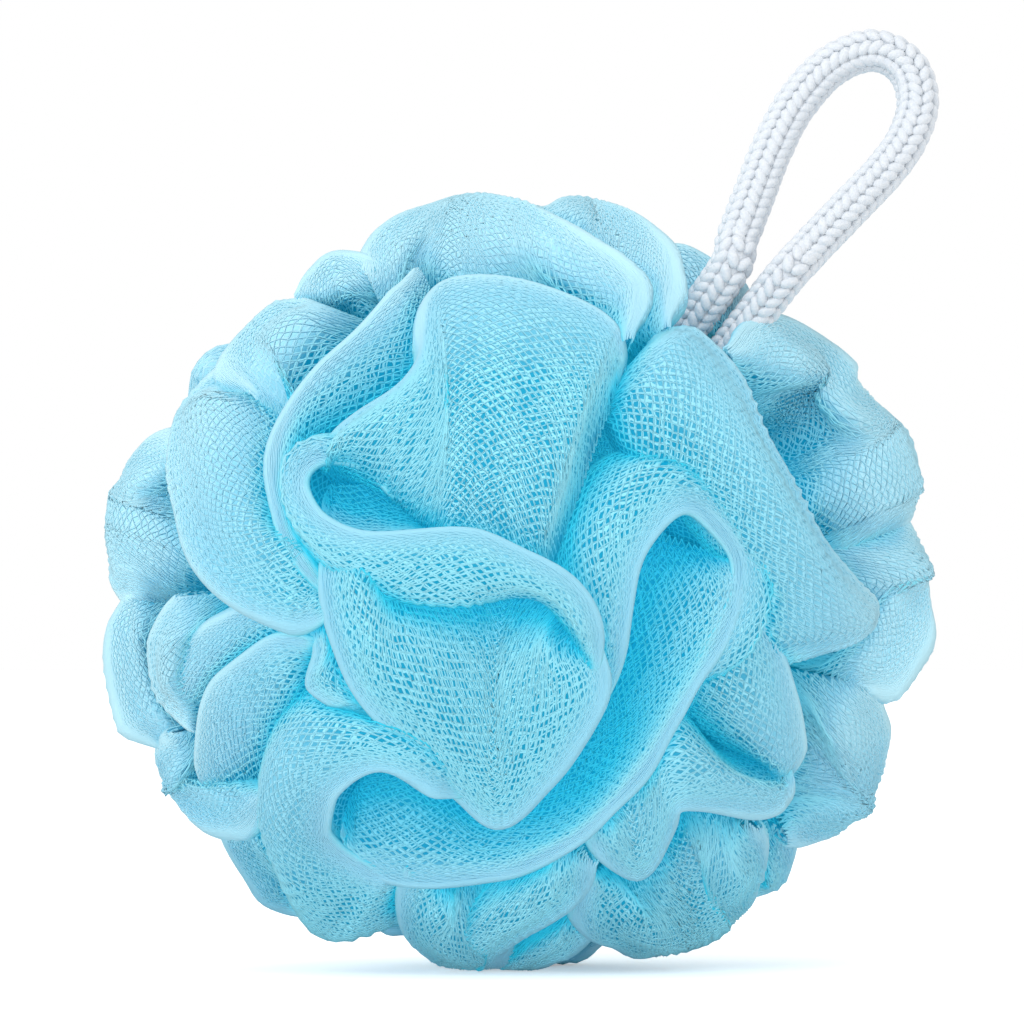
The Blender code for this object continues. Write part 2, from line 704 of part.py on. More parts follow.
def make_netting(frame):
    """The ruffled ball, as the one closed solid that all its folds make together."""
    mesh = bmesh.new()
    add_core(mesh)
    for ruffle in FRONT_RUFFLES:
        add_ruffle(mesh, ruffle, Matrix.Identity(4))
    behind = Matrix.Rotation(math.pi, 4, "Z")
    add_ruffle(mesh, BACK_FOOT_RUFFLE, about_middle(behind, 1.0))
    turned = Matrix.Rotation(math.radians(BACK_CENTRE_TURN), 4, "Y")
    for ruffle in CENTRE_RUFFLES:
        add_ruffle(mesh, ruffle, about_middle(behind @ turned, BACK_CENTRE_SHRINK))
    turned = Matrix.Rotation(math.radians(BACK_EDGE_TURN), 4, "Y")
    for ruffle in EDGE_RUFFLES:
        add_ruffle(mesh, ruffle, about_middle(behind @ turned, BACK_EDGE_SHRINK))
    netting = new_object("netting", mesh)
    remesh = netting.modifiers.new("one skin", "REMESH")
    remesh.mode = "VOXEL"
    remesh.voxel_size = NET_VOXEL
    apply_modifiers(netting)
    keep_largest_body(netting)
    soften = netting.modifiers.new("soft folds", "SMOOTH")
    soften.iterations = SOFTENING_STEPS
    apply_modifiers(netting)
    thin = netting.modifiers.new("fewer faces", "DECIMATE")
    triangles = sum(len(face.vertices) - 2 for face in netting.data.polygons)
    thin.ratio = min(NET_TRIANGLES / triangles, 1.0)
    apply_modifiers(netting)
    keep_largest_body(netting)
    channel = as_mesh_object(
        curve_tube("rope_channel", rope_route(frame), ROPE_DIAMETER / 2 + ROPE_CLEARANCE, 3)
    )
    cut_away(netting, [floor_cutter(), pocket_cutter(frame), thread_pocket_cutter(frame), channel])
    keep_largest_body(netting)
    netting.data.materials.append(plain_material("blue_netting", (0.20, 0.62, 0.83), 0.55))
    return netting


def main():
    for obj in list(bpy.data.objects):
        bpy.data.objects.remove(obj)
    frame = RopeFrame()
    make_netting(frame)
    make_hanging_loop(frame)
    make_rope_knot(frame)
    make_tying_thread(frame)


main()
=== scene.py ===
"""The looks of the bath sponge: its netting with real strands, its braided loop and the studio.

Run as a script. Every fold of the netting is drawn as it is seen from the front, in points of the camera's
picture, which is 1024 points wide: its rim, the folded edge, and its foot, where the netting sinks out of
sight. The netting is laid on these folds as strands that meet at their knots, over a lining that stands for
the layers below.
"""

import math
from typing import NamedTuple

import bpy
import numpy as np
from bpy.props import FloatProperty, FloatVectorProperty, IntProperty, PointerProperty
from mathutils import Matrix, Vector
from mathutils.bvhtree import BVHTree


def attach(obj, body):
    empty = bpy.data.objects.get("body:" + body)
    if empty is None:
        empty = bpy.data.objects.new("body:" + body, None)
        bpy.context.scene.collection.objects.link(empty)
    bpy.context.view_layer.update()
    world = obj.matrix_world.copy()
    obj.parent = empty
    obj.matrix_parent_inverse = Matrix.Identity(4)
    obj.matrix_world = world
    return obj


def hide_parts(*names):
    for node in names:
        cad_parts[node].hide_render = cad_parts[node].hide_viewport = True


bl_info = {
    "name": "Bath Sponge",
    "version": (1, 0, 0),
    "blender": (4, 5, 0),
    "location": "View3D > Sidebar > Sponge",
    "description": "Netting, braided hanging loop and studio of a bath sponge",
    "category": "Add Mesh",
}

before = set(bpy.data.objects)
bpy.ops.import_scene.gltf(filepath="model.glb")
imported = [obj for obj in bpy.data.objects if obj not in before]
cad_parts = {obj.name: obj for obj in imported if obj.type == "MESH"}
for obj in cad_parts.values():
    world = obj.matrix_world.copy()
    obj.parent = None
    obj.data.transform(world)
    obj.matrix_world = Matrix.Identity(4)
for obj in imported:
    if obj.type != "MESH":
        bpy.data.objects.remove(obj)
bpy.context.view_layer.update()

MILLIMETRE = 0.001

# The ball that the folds are drawn on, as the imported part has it
BALL_WIDTH = 0.120
BALL_DEPTH = 0.110
BALL_HEIGHT = 0.1156
REST_FLAT_DEPTH = 0.0032
ROOT_LEAN = 0.012
HALF_SIZE = np.array((BALL_WIDTH, BALL_DEPTH, BALL_HEIGHT)) / 2
MIDDLE = np.array((0.0, 0.0, HALF_SIZE[2] - REST_FLAT_DEPTH))
ROOT_MIDDLE = MIDDLE + np.array((0.0, ROOT_LEAN, 0.0))
CORE_BELOW_SURFACE = 0.018

# The picture frame that the folds are drawn in
PICTURE_SIZE = 1024
PICTURE_MIDDLE = (517.0, 588.0)
PICTURE_HALF_WIDTH = 418.5
PICTURE_HALF_HEIGHT = 403.0
METRES_PER_POINT = HALF_SIZE[0] / PICTURE_HALF_WIDTH

# How finely a fold's surface is worked out before the strands are laid on it: along the fold, over its
# face, round its rim, and on its way down to the root from both sides
FINE_COLUMNS = 220
FACE_STEPS = 24
ROLL_STEPS = 14
DEEP_STEPS = 12

# How far down that way goes, and how sharply it turns towards the root
DEEP_REACH = 0.016
DEEP_TURN = 3

# A fold gets flatter and sinks by so many millimetres over the last so many rim points at each end
END_SPANS = 1.3
END_SINK = 3.0
END_FULLNESS = 0.3

# How often the fold's facing, its section and its face are softened. On the face the softening falls from
# this value at the root, held at 1, to nothing at the rim.
FACING_SMOOTHING = 60
SECTION_SMOOTHING = 3
CREASE_SMOOTHING = 40
CREASE_FADE = 2.0

# The lowest folds end just above the surface that the ball stands on
FLOOR_CLEARANCE = 0.0002
FLOOR_SOFTNESS = 0.0012

# The lining's grid: close together near the rim, wider on the face, and every so many fine columns
COLUMN_STEP = 5
RIM_REACH = 0.0036
RIM_STEP = 0.0006
FACE_STEP = 0.0016
LINING_DEEPER = 0.014
LINING_BEHIND = 0.0145
LINING_THICKNESS = 0.0003

# How openly a spot lies is read from the ways outwards that no netting blocks. The hollows' painted shade is
# set from it.
WAYS = 40
WAY_LENGTH = 0.05
WAY_START = 0.0007
LEAST_SLANT = 0.15

# Strands that lie less openly than this are left out
HIDDEN = 0.004

# A place on a grid is held this far before its end, so that there is always a next point to read
SHORT_OF_LAST = 1.001

# The folded edge: its width, and how far from there the face takes to lie open and its strands to zigzag
EDGE_WIDTH = 0.0009
EDGE_FADE = 0.0032
ZIGZAG_RETURN = 2.5

# The rows of strands: how far they go on past the foot and round behind the rim, how far from the rim they
# stay close together and then take to open out, and their spacing behind the rim in rim rows
ROWS_DEEPER = 0.003
ROWS_BEHIND = 0.005
CLOSE_REACH = 0.0012
OPENING_REACH = 0.007
BEHIND_ROW = 1.2

# The netting's small waves, and how far its knots lie off their places in cells, less at the rim
WAVE_COUNT = 7
WAVE_LENGTH = 0.012
WAVE_RANGE = (0.7, 1.6)
KNOT_SCATTER = 0.06
RIM_SCATTER = 0.3

# Where the colours of the outermost folds (painted light), the rims, the faces and the hollows (painted
# shade) lie on the scale of tones
TONE_STOPS = (0.0, 0.25, 0.5, 1.0)
FACE_TONE = 0.25
HOLLOW_SHADE_TONE = 1.0
OPEN_ENOUGH = 0.80

# Painted light: the outermost folds, towards the outline as seen from the front, are painted paler, but not
# the underside, which lies in shade: from so far out and up, in shares of the ball's half size, and how much
OUTER_START = 0.52
OUTER_FADE = 0.34
UNDERSIDE = -0.75
UNDERSIDE_FADE = 0.4
OUTER_FACE_SHARE = 0.6
OUTER_SHADE_SHARE = 0.35

# Where the tones lie on the strands' map
TONE_START = 0.02
TONE_SPAN = 0.94
TONE_STEP = 0.004
TONE_ROW = 0.05

# The netting drawn on the lining: the width and height of its cells and how far they wander, in
# millimetres, and from where to where beside its middle a line fades, in cells
DRAWN_CELL = (1.7, 1.3)
DRAWN_WANDER = (1.6, 1.6, 0.0)
WANDER_SCALE = 0.45
DRAWN_LINE = (0.10, 0.20)

# The rope's fibres: how fine their streaks are, and how much darker the dark ones
FIBRE_SCALE = 2600.0
FIBRE_SHADE = (0.84, 0.88, 0.93)
HIDDEN_COLOURS = {"rope_knot": (0.84, 0.86, 0.88), "tying_thread": (0.80, 0.84, 0.88)}


class Fold(NamedTuple):
    """One fold of the netting, drawn as seen from the front.

    Its rim and its foot lie so many millimetres behind the ball's surface, as one value or several from
    end to end. Between them the face swells, and at the rim it folds back with a radius, in millimetres.
    """

    name: str
    rim: list
    foot: list
    rim_below: float | tuple
    foot_below: float | tuple
    swell: float
    radius: float


# The tongue, the S-shaped fold and the broad lobe at the front
CENTRE_FOLDS = [
    Fold(
        "tongue",
        [(318, 545), (326, 573), (338, 631), (358, 685), (397, 733), (453, 790), (497, 824), (540, 785),
         (575, 735), (597, 690), (602, 650)],
        [(338, 548), (352, 558), (372, 570), (400, 582), (433, 585), (474, 583), (509, 580), (535, 582),
         (558, 590), (572, 604), (583, 620)],
        (1.0, 4.0, 6.0, 3.0, 0.5), (3.0, 10.0, 12.0, 12.0, 6.0), 7.0, 1.4,
    ),
    Fold(
        "tongue_band",
        [(425, 513), (396, 497), (372, 474), (350, 461), (325, 459), (309, 470), (305, 488), (314, 508),
         (332, 522), (356, 531), (392, 533), (456, 529), (494, 536), (545, 562), (581, 593), (600, 640),
         (598, 680)],
        [(432, 500), (408, 480), (380, 456), (352, 442), (318, 441), (294, 456), (287, 488), (296, 520),
         (316, 546), (344, 566), (376, 582), (440, 592), (480, 589), (520, 587), (555, 598), (578, 632),
         (583, 665)],
        (6.5, 6.0, 3.5, 1.0, 0.3, 0.0, 0.0, 0.0, 1.0), (7.5, 6.5, 4.5, 2.5, 2.0, 2.0, 2.0, 2.0, 1.5),
        1.5, 1.3,
    ),
    Fold(
        "turn_hollow",
        [(310, 480), (326, 514), (352, 530), (392, 534), (430, 531), (470, 535)],
        [(318, 462), (345, 460), (366, 468), (390, 485), (425, 512), (465, 536)],
        10.0, 17.0, 0.0, 0.8,
    ),
    Fold(
        "broad_lobe",
        [(313, 463), (330, 438), (360, 412), (400, 385), (424, 352), (428, 318), (434, 290), (455, 277),
         (510, 277), (560, 291), (600, 310), (622, 334), (628, 360)],
        [(316, 468), (338, 461), (358, 463), (385, 478), (405, 496), (425, 512), (440, 522), (455, 530),
         (480, 538), (505, 548), (528, 558), (544, 564), (556, 560)],
        4.0, 6.0, 5.0, 1.6,
    ),
    Fold(
        "long_curl",
        [(415, 255), (408, 283), (382, 312), (346, 348), (318, 380), (298, 412), (289, 450), (291, 490),
         (303, 530), (322, 565), (335, 602)],
        [(432, 285), (428, 322), (427, 352), (398, 382), (362, 410), (330, 436), (312, 460), (304, 490),
         (312, 530), (328, 568), (341, 602)],
        3.0, 12.0, 0.0, 1.6,
    ),
    Fold(
        "middle_fold",
        [(618, 392), (640, 428), (668, 460), (700, 488)],
        [(570, 520), (590, 485), (615, 462), (645, 452)],
        13.0, 16.0, 1.0, 1.0,
    ),
    Fold(
        "upper_arch",
        [(605, 705), (618, 660), (628, 600), (637, 560), (655, 529), (674, 509), (690, 505), (705, 512),
         (718, 525), (729, 540), (736, 556), (737, 578), (731, 606), (712, 644), (690, 676)],
        [(552, 650), (545, 600), (556, 545), (575, 505), (605, 465), (631, 455), (655, 459), (680, 472),
         (706, 498), (728, 518), (750, 545), (756, 578), (750, 612), (732, 655), (708, 690)],
        5.0, (11.0, 11.0, 10.0, 9.0, 9.0), 3.0, 1.2,
    ),
    Fold(
        "long_bowl",
        [(737, 556), (735, 571), (730, 606), (712, 644), (688, 679), (668, 712), (642, 759), (603, 803),
         (574, 829), (530, 855), (500, 868), (443, 877), (404, 878), (372, 870), (352, 857), (336, 842)],
        [(668, 530), (650, 560), (640, 600), (628, 640), (618, 680), (606, 715), (585, 745), (556, 778),
         (530, 800), (500, 815), (472, 815), (440, 806), (405, 800), (375, 797), (352, 797), (338, 808)],
        5.0, 17.0, 0.0, 1.2,
    ),
    Fold(
        "lower_arch",
        [(470, 800), (451, 786), (425, 774), (393, 764), (372, 766), (352, 776), (333, 792), (327, 810),
         (325, 831), (330, 840), (338, 848), (347, 855), (358, 862), (372, 870), (388, 876), (404, 879)],
        [(448, 772), (430, 756), (385, 722), (350, 702), (321, 696), (300, 707), (280, 732), (267, 763),
         (264, 795), (268, 830), (277, 858), (286, 884), (298, 910), (318, 935), (360, 940), (400, 932)],
        (4.0, 4.0, 4.0, 5.0, 5.0), (9.0, 9.0, 9.0, 7.0, 5.0), 4.0, 1.2,
    ),
]

# The long lobe and the folds to the right of it and below it
RIGHT_FOLDS = [
    Fold(
        "long_lobe",
        [(660, 326), (690, 321), (718, 341), (745, 378), (770, 432), (797, 482), (828, 535), (862, 580),
         (887, 605), (888, 632)],
        [(628, 362), (622, 392), (632, 425), (655, 455), (690, 483), (718, 515), (742, 556), (765, 603),
         (780, 645), (796, 666)],
        4.0, 6.0, 6.0, 3.0,
    ),
    Fold(
        "right_fold",
        [(735, 556), (759, 606), (776, 641), (791, 688), (801, 726), (803, 759), (794, 785)],
        [(712, 632), (695, 665), (680, 688), (706, 718), (735, 741), (765, 759), (785, 776)],
        7.0, 12.0, 3.0, 1.6,
    ),
    Fold(
        "right_curl",
        [(800, 775), (788, 800), (771, 810), (735, 808), (703, 806), (683, 806), (674, 811), (668, 835),
         (656, 861), (639, 877), (621, 870), (600, 850), (586, 826)],
        [(788, 773), (779, 779), (747, 776), (721, 762), (694, 732), (668, 706), (655, 725), (645, 745),
         (632, 760), (618, 775), (608, 790), (598, 800), (590, 808)],
        5.0, 10.0, 3.0, 1.6,
    ),
    Fold(
        "upper_right_edge",
        [(738, 345), (770, 326), (795, 321), (824, 335), (843, 361), (861, 383), (896, 407), (915, 426),
         (926, 455), (930, 487), (928, 520)],
        [(750, 390), (770, 392), (790, 393), (805, 398), (818, 408), (828, 430), (830, 460), (827, 498),
         (838, 515), (848, 530), (860, 550)],
        0.0, 16.0, 5.0, 3.0,
    ),
    Fold(
        "right_edge",
        [(927, 515), (935, 545), (936, 575), (925, 610), (908, 645), (890, 675), (883, 692)],
        [(850, 545), (862, 575), (872, 605), (876, 630), (860, 650), (838, 662), (815, 672)],
        0.0, 16.0, 5.0, 3.0,
    ),
    Fold(
        "lower_right_edge",
        [(884, 690), (889, 730), (888, 765), (880, 800), (862, 825), (835, 843), (801, 851)],
        [(800, 672), (802, 695), (806, 718), (808, 742), (806, 768), (798, 793), (780, 812)],
        0.5, 16.0, 6.0, 3.0,
    ),
    Fold(
        "small_right_edge",
        [(806, 845), (792, 878), (772, 900), (745, 914)],
        [(765, 828), (760, 845), (752, 860), (740, 872)],
        3.0, 15.0, 3.0, 2.5,
    ),
]

# The folds along the top, and the one behind the rope
TOP_FOLDS = [
    Fold(
        "top_lobe",
        [(362, 256), (377, 231), (410, 208), (448, 190), (480, 185), (505, 190), (525, 197), (551, 221),
         (580, 256), (602, 278), (620, 300), (626, 332)],
        [(385, 312), (400, 290), (413, 262), (432, 262), (455, 272), (490, 277), (520, 282), (550, 292),
         (575, 302), (595, 312), (610, 325), (618, 340)],
        0.5, 13.0, 3.0, 3.0,
    ),
    Fold(
        "top_right_lobe",
        [(525, 198), (555, 191), (589, 189), (614, 200), (635, 218), (646, 245), (656, 285), (667, 318)],
        [(545, 225), (570, 255), (595, 280), (612, 300), (622, 320), (628, 340), (632, 350), (642, 355)],
        0.5, 15.0, 3.0, 3.0,
    ),
    Fold(
        "behind_rope",
        [(643, 240), (672, 241), (705, 256), (735, 288), (752, 318)],
        [(655, 300), (670, 315), (690, 328), (712, 338), (735, 350)],
        2.0, 17.0, 2.0, 2.5,
    ),
    Fold(
        "top_left_edge",
        [(290, 290), (315, 269), (341, 256), (368, 250)],
        [(325, 305), (345, 303), (368, 298), (388, 292)],
        0.5, 13.0, 3.0, 3.0,
    ),
]

# The folds along the left
LEFT_FOLDS = [
    Fold(
        "upper_left_lobe",
        [(243, 380), (239, 355), (240, 337), (246, 321), (260, 306), (279, 293), (298, 285)],
        [(318, 500), (303, 460), (296, 430), (300, 405), (318, 378), (345, 347), (374, 316)],
        0.5, 13.0, 5.0, 3.5,
    ),
    Fold(
        "left_lobe",
        [(333, 606), (300, 607), (273, 604), (242, 596), (216, 583), (195, 562), (179, 533), (169, 499),
         (165, 465), (165, 434), (170, 413), (185, 395), (206, 382), (240, 373)],
        [(325, 575), (318, 560), (312, 548), (306, 535), (300, 522), (296, 508), (293, 490), (290, 470),
         (288, 450), (284, 432), (278, 415), (270, 400), (262, 388), (254, 378)],
        1.0, 10.0, 6.0, 3.5,
    ),
    Fold(
        "far_left_lobe",
        [(168, 434), (145, 442), (127, 455), (111, 478), (102, 507), (98, 531), (101, 557), (106, 583),
         (114, 598)],
        [(175, 470), (172, 485), (172, 500), (176, 515), (182, 530), (188, 548), (180, 572), (168, 592),
         (158, 604)],
        0.0, 14.0, 5.0, 3.0,
    ),
    Fold(
        "left_side_fold",
        [(162, 598), (149, 632), (147, 670), (158, 710), (180, 738)],
        [(222, 590), (216, 614), (206, 638), (200, 664), (200, 692)],
        3.0, 11.0, 4.0, 3.0,
    ),
    Fold(
        "left_pale_edge",
        [(113, 592), (113, 615), (118, 650), (128, 693), (142, 728), (154, 758)],
        [(155, 600), (150, 632), (150, 665), (156, 695), (168, 722), (180, 742)],
        0.5, 13.0, 3.0, 3.0,
    ),
    Fold(
        "upper_left_arch",
        [(150, 668), (172, 650), (199, 635), (225, 621), (252, 609), (287, 606), (314, 607), (333, 611)],
        [(190, 740), (196, 715), (209, 690), (231, 667), (259, 647), (285, 638), (306, 641), (320, 652)],
        6.0, 12.0, 2.0, 2.0,
    ),
    Fold(
        "little_fold",
        [(300, 628), (314, 638), (318, 656), (308, 680), (315, 691), (342, 704), (380, 718)],
        [(333, 600), (337, 615), (340, 632), (346, 655), (358, 680), (378, 702), (400, 722)],
        6.0, 8.0, 1.5, 1.4,
    ),
    Fold(
        "lower_left_arch",
        [(200, 817), (197, 780), (201, 730), (212, 690), (232, 668), (260, 649), (287, 640), (312, 641)],
        [(230, 814), (242, 800), (256, 782), (268, 755), (282, 730), (300, 708), (316, 693), (330, 690)],
        4.0, 13.0, 1.0, 1.6,
    ),
    Fold(
        "lower_left_lobe",
        [(155, 742), (152, 760), (154, 780), (167, 801), (187, 814), (208, 818), (232, 814), (256, 800)],
        [(190, 735), (195, 750), (198, 765), (199, 778), (204, 786), (214, 790), (230, 788), (245, 780)],
        0.5, 12.0, 4.0, 3.0,
    ),
    Fold(
        "low_left_edge",
        [(229, 812), (232, 842), (243, 866), (263, 890), (284, 911), (312, 930)],
        [(268, 800), (270, 820), (274, 842), (282, 862), (292, 882), (308, 900)],
        1.0, 13.0, 4.0, 3.0,
    ),
]

# The folds that the ball stands on
BOTTOM_FOLDS = [
    Fold(
        "bottom_lobe",
        [(404, 879), (403, 906), (409, 941), (428, 962), (452, 980), (479, 989), (483, 972), (495, 955),
         (520, 938), (545, 922), (575, 900), (594, 868)],
        [(440, 875), (450, 877), (458, 878), (466, 879), (475, 879), (485, 878), (495, 876), (508, 870),
         (525, 862), (545, 852), (560, 844), (575, 836)],
        2.0, 9.0, 5.0, 2.5,
    ),
    Fold(
        "bottom_behind",
        [(472, 989), (497, 991), (521, 985), (541, 973), (569, 959), (599, 943)],
        [(500, 950), (515, 938), (535, 925), (552, 915), (572, 905), (592, 888)],
        2.0, 12.0, 3.0, 3.0,
    ),
    Fold(
        "bottom_right_lobe",
        [(592, 886), (593, 922), (601, 943), (620, 956), (642, 965), (661, 965), (690, 959), (722, 946),
         (738, 930), (750, 908), (765, 876), (765, 838)],
        [(612, 872), (620, 878), (628, 884), (640, 885), (650, 882), (660, 874), (672, 860), (682, 846),
         (692, 834), (706, 824), (722, 817), (742, 812)],
        2.0, 11.0, 5.0, 3.5,
    ),
]

# The fold behind them that takes its share of the weight, drawn as seen from the back
BACK_FOOT_FOLD = Fold(
    "back_foot",
    [(420, 960), (448, 978), (480, 984), (520, 986), (560, 984), (592, 976), (620, 955)],
    [(400, 890), (435, 900), (475, 905), (520, 907), (560, 905), (605, 898), (640, 885)],
    0.0, 4.0, 3.0, 3.0,
)

# How the folds run on round the back, turned about the depth axis so that the two sides differ
BACK_CENTRE_TURN = 205.0
BACK_CENTRE_SHRINK = 0.985
BACK_EDGE_TURN = 21.0
BACK_EDGE_SHRINK = 0.94

# The net tube, laid flat, is this deep, and each group of folds takes so much of its length
FLAT_LENGTH = {
    "centre": 0.19, "arches": 0.23, "right": 0.23, "top": 0.10, "left": 0.23, "bottom": 0.10,
    "back_foot": 0.034, "back_centre": 0.41, "back_right": 0.29, "back_left": 0.29,
}
GROUPS = list(FLAT_LENGTH)
FRONT_GROUPS = [group for group in GROUPS if not group.startswith("back")]
BACK_GROUPS = [group for group in GROUPS if group.startswith("back")]

# The hanging loop's route in the same picture, from the left leg over the top to the right leg.
# The third number is how far it lies in front of the ball's middle, in millimetres.
ROPE_ROUTE = [
    (716, 288, 21.0), (734, 243, 20.0), (751, 199, 18.0), (769, 153, 16.0), (793, 108, 14.0),
    (828, 70, 12.5), (870, 54, 12.0), (903, 70, 12.5), (914, 104, 14.0), (905, 139, 16.0),
    (882, 173, 18.0), (846, 211, 20.0), (803, 256, 21.5), (767, 298, 22.5),
]
ROPE_DIAMETER = 0.0058
ROPE_CLEARANCE = 0.0003
LEG_SPACING = 0.0066
LEG_STRAIGHT = 0.016
KNOT_SCALE = 0.0031
ROUTE_FINENESS = 40

# The braid's stitches: their length in pitches, their width and height, how deep their middles lie below
# the rope's surface, and their slant in degrees, to one side and the other in turn
STITCH_LENGTH = 1.75
STITCH_WIDTH = 0.00165
STITCH_HEIGHT = 0.0015
STITCH_DEPTH = 0.00055
STITCH_SLANT = 34
SLANT_SCATTER = 3
SIZE_SCATTER = (0.95, 1.06)
COLUMN_SHIFT = 0.25
STITCH_PLUMPNESS = 0.7

# The plain core that closes the gaps between the stitches
BRAID_CORE_DEPTH = 0.0006
BRAID_CORE_SIDES = 16

# The studio
FLOOR_SIZE = 6.0
FLOOR_LIFT = 0.3
KEY_SIZE = 0.7
KEY_PLACE = (-0.45, -0.75, 0.85)
SENSOR_WIDTH = 36.0


def length_property(name, description, default):
    """A length that a user can change."""
    return FloatProperty(name=name, description=description, default=default, subtype="DISTANCE")


def colour_property(name, description, default):
    """A colour that a user can change."""
    return FloatVectorProperty(
        name=name, description=description, default=default, subtype="COLOR", min=0.0, max=1.0
    )


class NettingLook(bpy.types.PropertyGroup):
    """Sizes and colours of the netting."""

    strand_width: length_property("Strand width", "Width of one strand", 0.00028)
    cell_width: length_property("Cell width", "Width of a cell, along the rim", 0.0019)
    rim_row: length_property("Row at the rim", "Distance between rows at the rim", 0.00022)
    face_row: length_property("Row on the face", "Distance between rows on the open face", 0.00062)
    back_coarseness: FloatProperty(
        name="Back coarseness", description="How much wider the cells of the back are", default=1.3
    )
    lining_gap: length_property("Lining gap", "From the strands to the layer below", 0.0005)
    unevenness: length_property("Unevenness", "Height of the netting's small waves", 0.00016)
    # Painted light: the outermost folds are painted this paler colour
    lit_outer_colour: colour_property("Outer colour", "Colour of the thin outermost folds", (0.49, 0.79, 0.89))
    rim_colour: colour_property("Rim colour", "Colour of the folded edges", (0.30, 0.65, 0.81))
    face_colour: colour_property("Face colour", "Colour of the open faces", (0.27, 0.70, 0.83))
    # Painted shade: the strands deep between the folds are painted this deeper blue
    hollow_shade_colour: colour_property("Hollow colour", "Colour deep between the folds", (0.03, 0.53, 0.73))
    # Painted shade: the gaps below the strands are painted darker than the strands, most on the open faces
    # and in the hollows. The outermost folds' gaps are also painted paler, as painted light.
    lit_outer_gap_shade_colour: colour_property(
        "Outer gap colour", "Colour below the outermost strands", (0.40, 0.74, 0.86)
    )
    rim_gap_shade_colour: colour_property(
        "Rim gap colour", "Colour below the strands of the edges", (0.24, 0.61, 0.77)
    )
    face_gap_shade_colour: colour_property(
        "Face gap colour", "Colour below the strands of the faces", (0.0, 0.31, 0.51)
    )
    hollow_gap_shade_colour: colour_property(
        "Hollow gap colour", "Colour deepest between the folds", (0.0, 0.29, 0.49)
    )
    glow_colour: colour_property(
        "Glow colour", "Colour of the light that comes through the netting into the hollows",
        (0.01, 0.60, 0.75),
    )
    glow_strength: FloatProperty(
        name="Glow strength", description="How much light comes through into the hollows", default=0.15
    )
    seed: IntProperty(name="Seed", description="Seed of the strands' small irregularities", default=11)


class RopeLook(bpy.types.PropertyGroup):
    """Sizes and colour of the braided rope."""

    stitch_columns: IntProperty(
        name="Stitch columns", description="Columns of stitches round the rope", default=8
    )
    stitch_pitch: length_property("Stitch pitch", "From one stitch to the next along the rope", 0.0016)
    rope_colour: colour_property("Rope colour", "Colour of the rope's fibres", (0.72, 0.75, 0.78))


class StageLook(bpy.types.PropertyGroup):
    """The studio and the camera."""

    camera_distance: length_property("Camera distance", "From the camera to the ball's middle", 1.6)
    world_strength: FloatProperty(
        name="World strength", description="Strength of the even white light", default=1.0
    )
    key_power: FloatProperty(name="Key power", description="Power of the large soft lamp", default=5.5)
    floor_colour: colour_property("Floor colour", "Colour of the floor", (0.92, 0.92, 0.92))


def unit(vectors):
    """The same vectors at length one."""
    return vectors / np.maximum(np.linalg.norm(vectors, axis=-1, keepdims=True), 1e-12)


def on_ball(points, below):
    """Picture points brought onto the front of the ball, and some millimetres back from there."""
    points = np.array(points, float)
    x = (points[:, 0] - PICTURE_MIDDLE[0]) / PICTURE_HALF_WIDTH
    z = (PICTURE_MIDDLE[1] - points[:, 1]) / PICTURE_HALF_HEIGHT
    below = np.atleast_1d(np.array(below, float))
    below = np.interp(np.linspace(0, 1, len(points)), np.linspace(0, 1, len(below)), below)
    y = -HALF_SIZE[1] * np.sqrt(np.maximum(1 - x * x - z * z, 0.0)) + below * MILLIMETRE
    return MIDDLE + np.stack([x * HALF_SIZE[0], y, z * HALF_SIZE[2]], axis=1)


def curve_at(points, places):
    """The smooth curve through the points, read at places counted in points."""
    last = len(points) - 1
    start = np.clip(places.astype(int), 0, last - 1)
    t = (places - start)[:, None]
    before = points[np.maximum(start - 1, 0)]
    here = points[start]
    there = points[start + 1]
    after = points[np.minimum(start + 2, last)]
    return 0.5 * (
        2 * here
        + (there - before) * t
        + (2 * before - 5 * here + 4 * there - after) * t**2
        + (3 * here - before - 3 * there + after) * t**3
    )


def smoothed(values, times):
    """The values softened along their first axis, with the two ends kept."""
    for _ in range(times):
        middle = (values[:-2] + 2 * values[1:-1] + values[2:]) / 4
        values = np.concatenate([values[:1], middle, values[-1:]])
    return values


def soft_floor(spots):
    """What would reach below the surface that the ball stands on is squashed onto it."""
    z = spots[..., 2] - FLOOR_CLEARANCE
    spots = spots.copy()
    spots[..., 2] = FLOOR_CLEARANCE + 0.5 * (z + np.sqrt(z * z + FLOOR_SOFTNESS**2))
    return spots


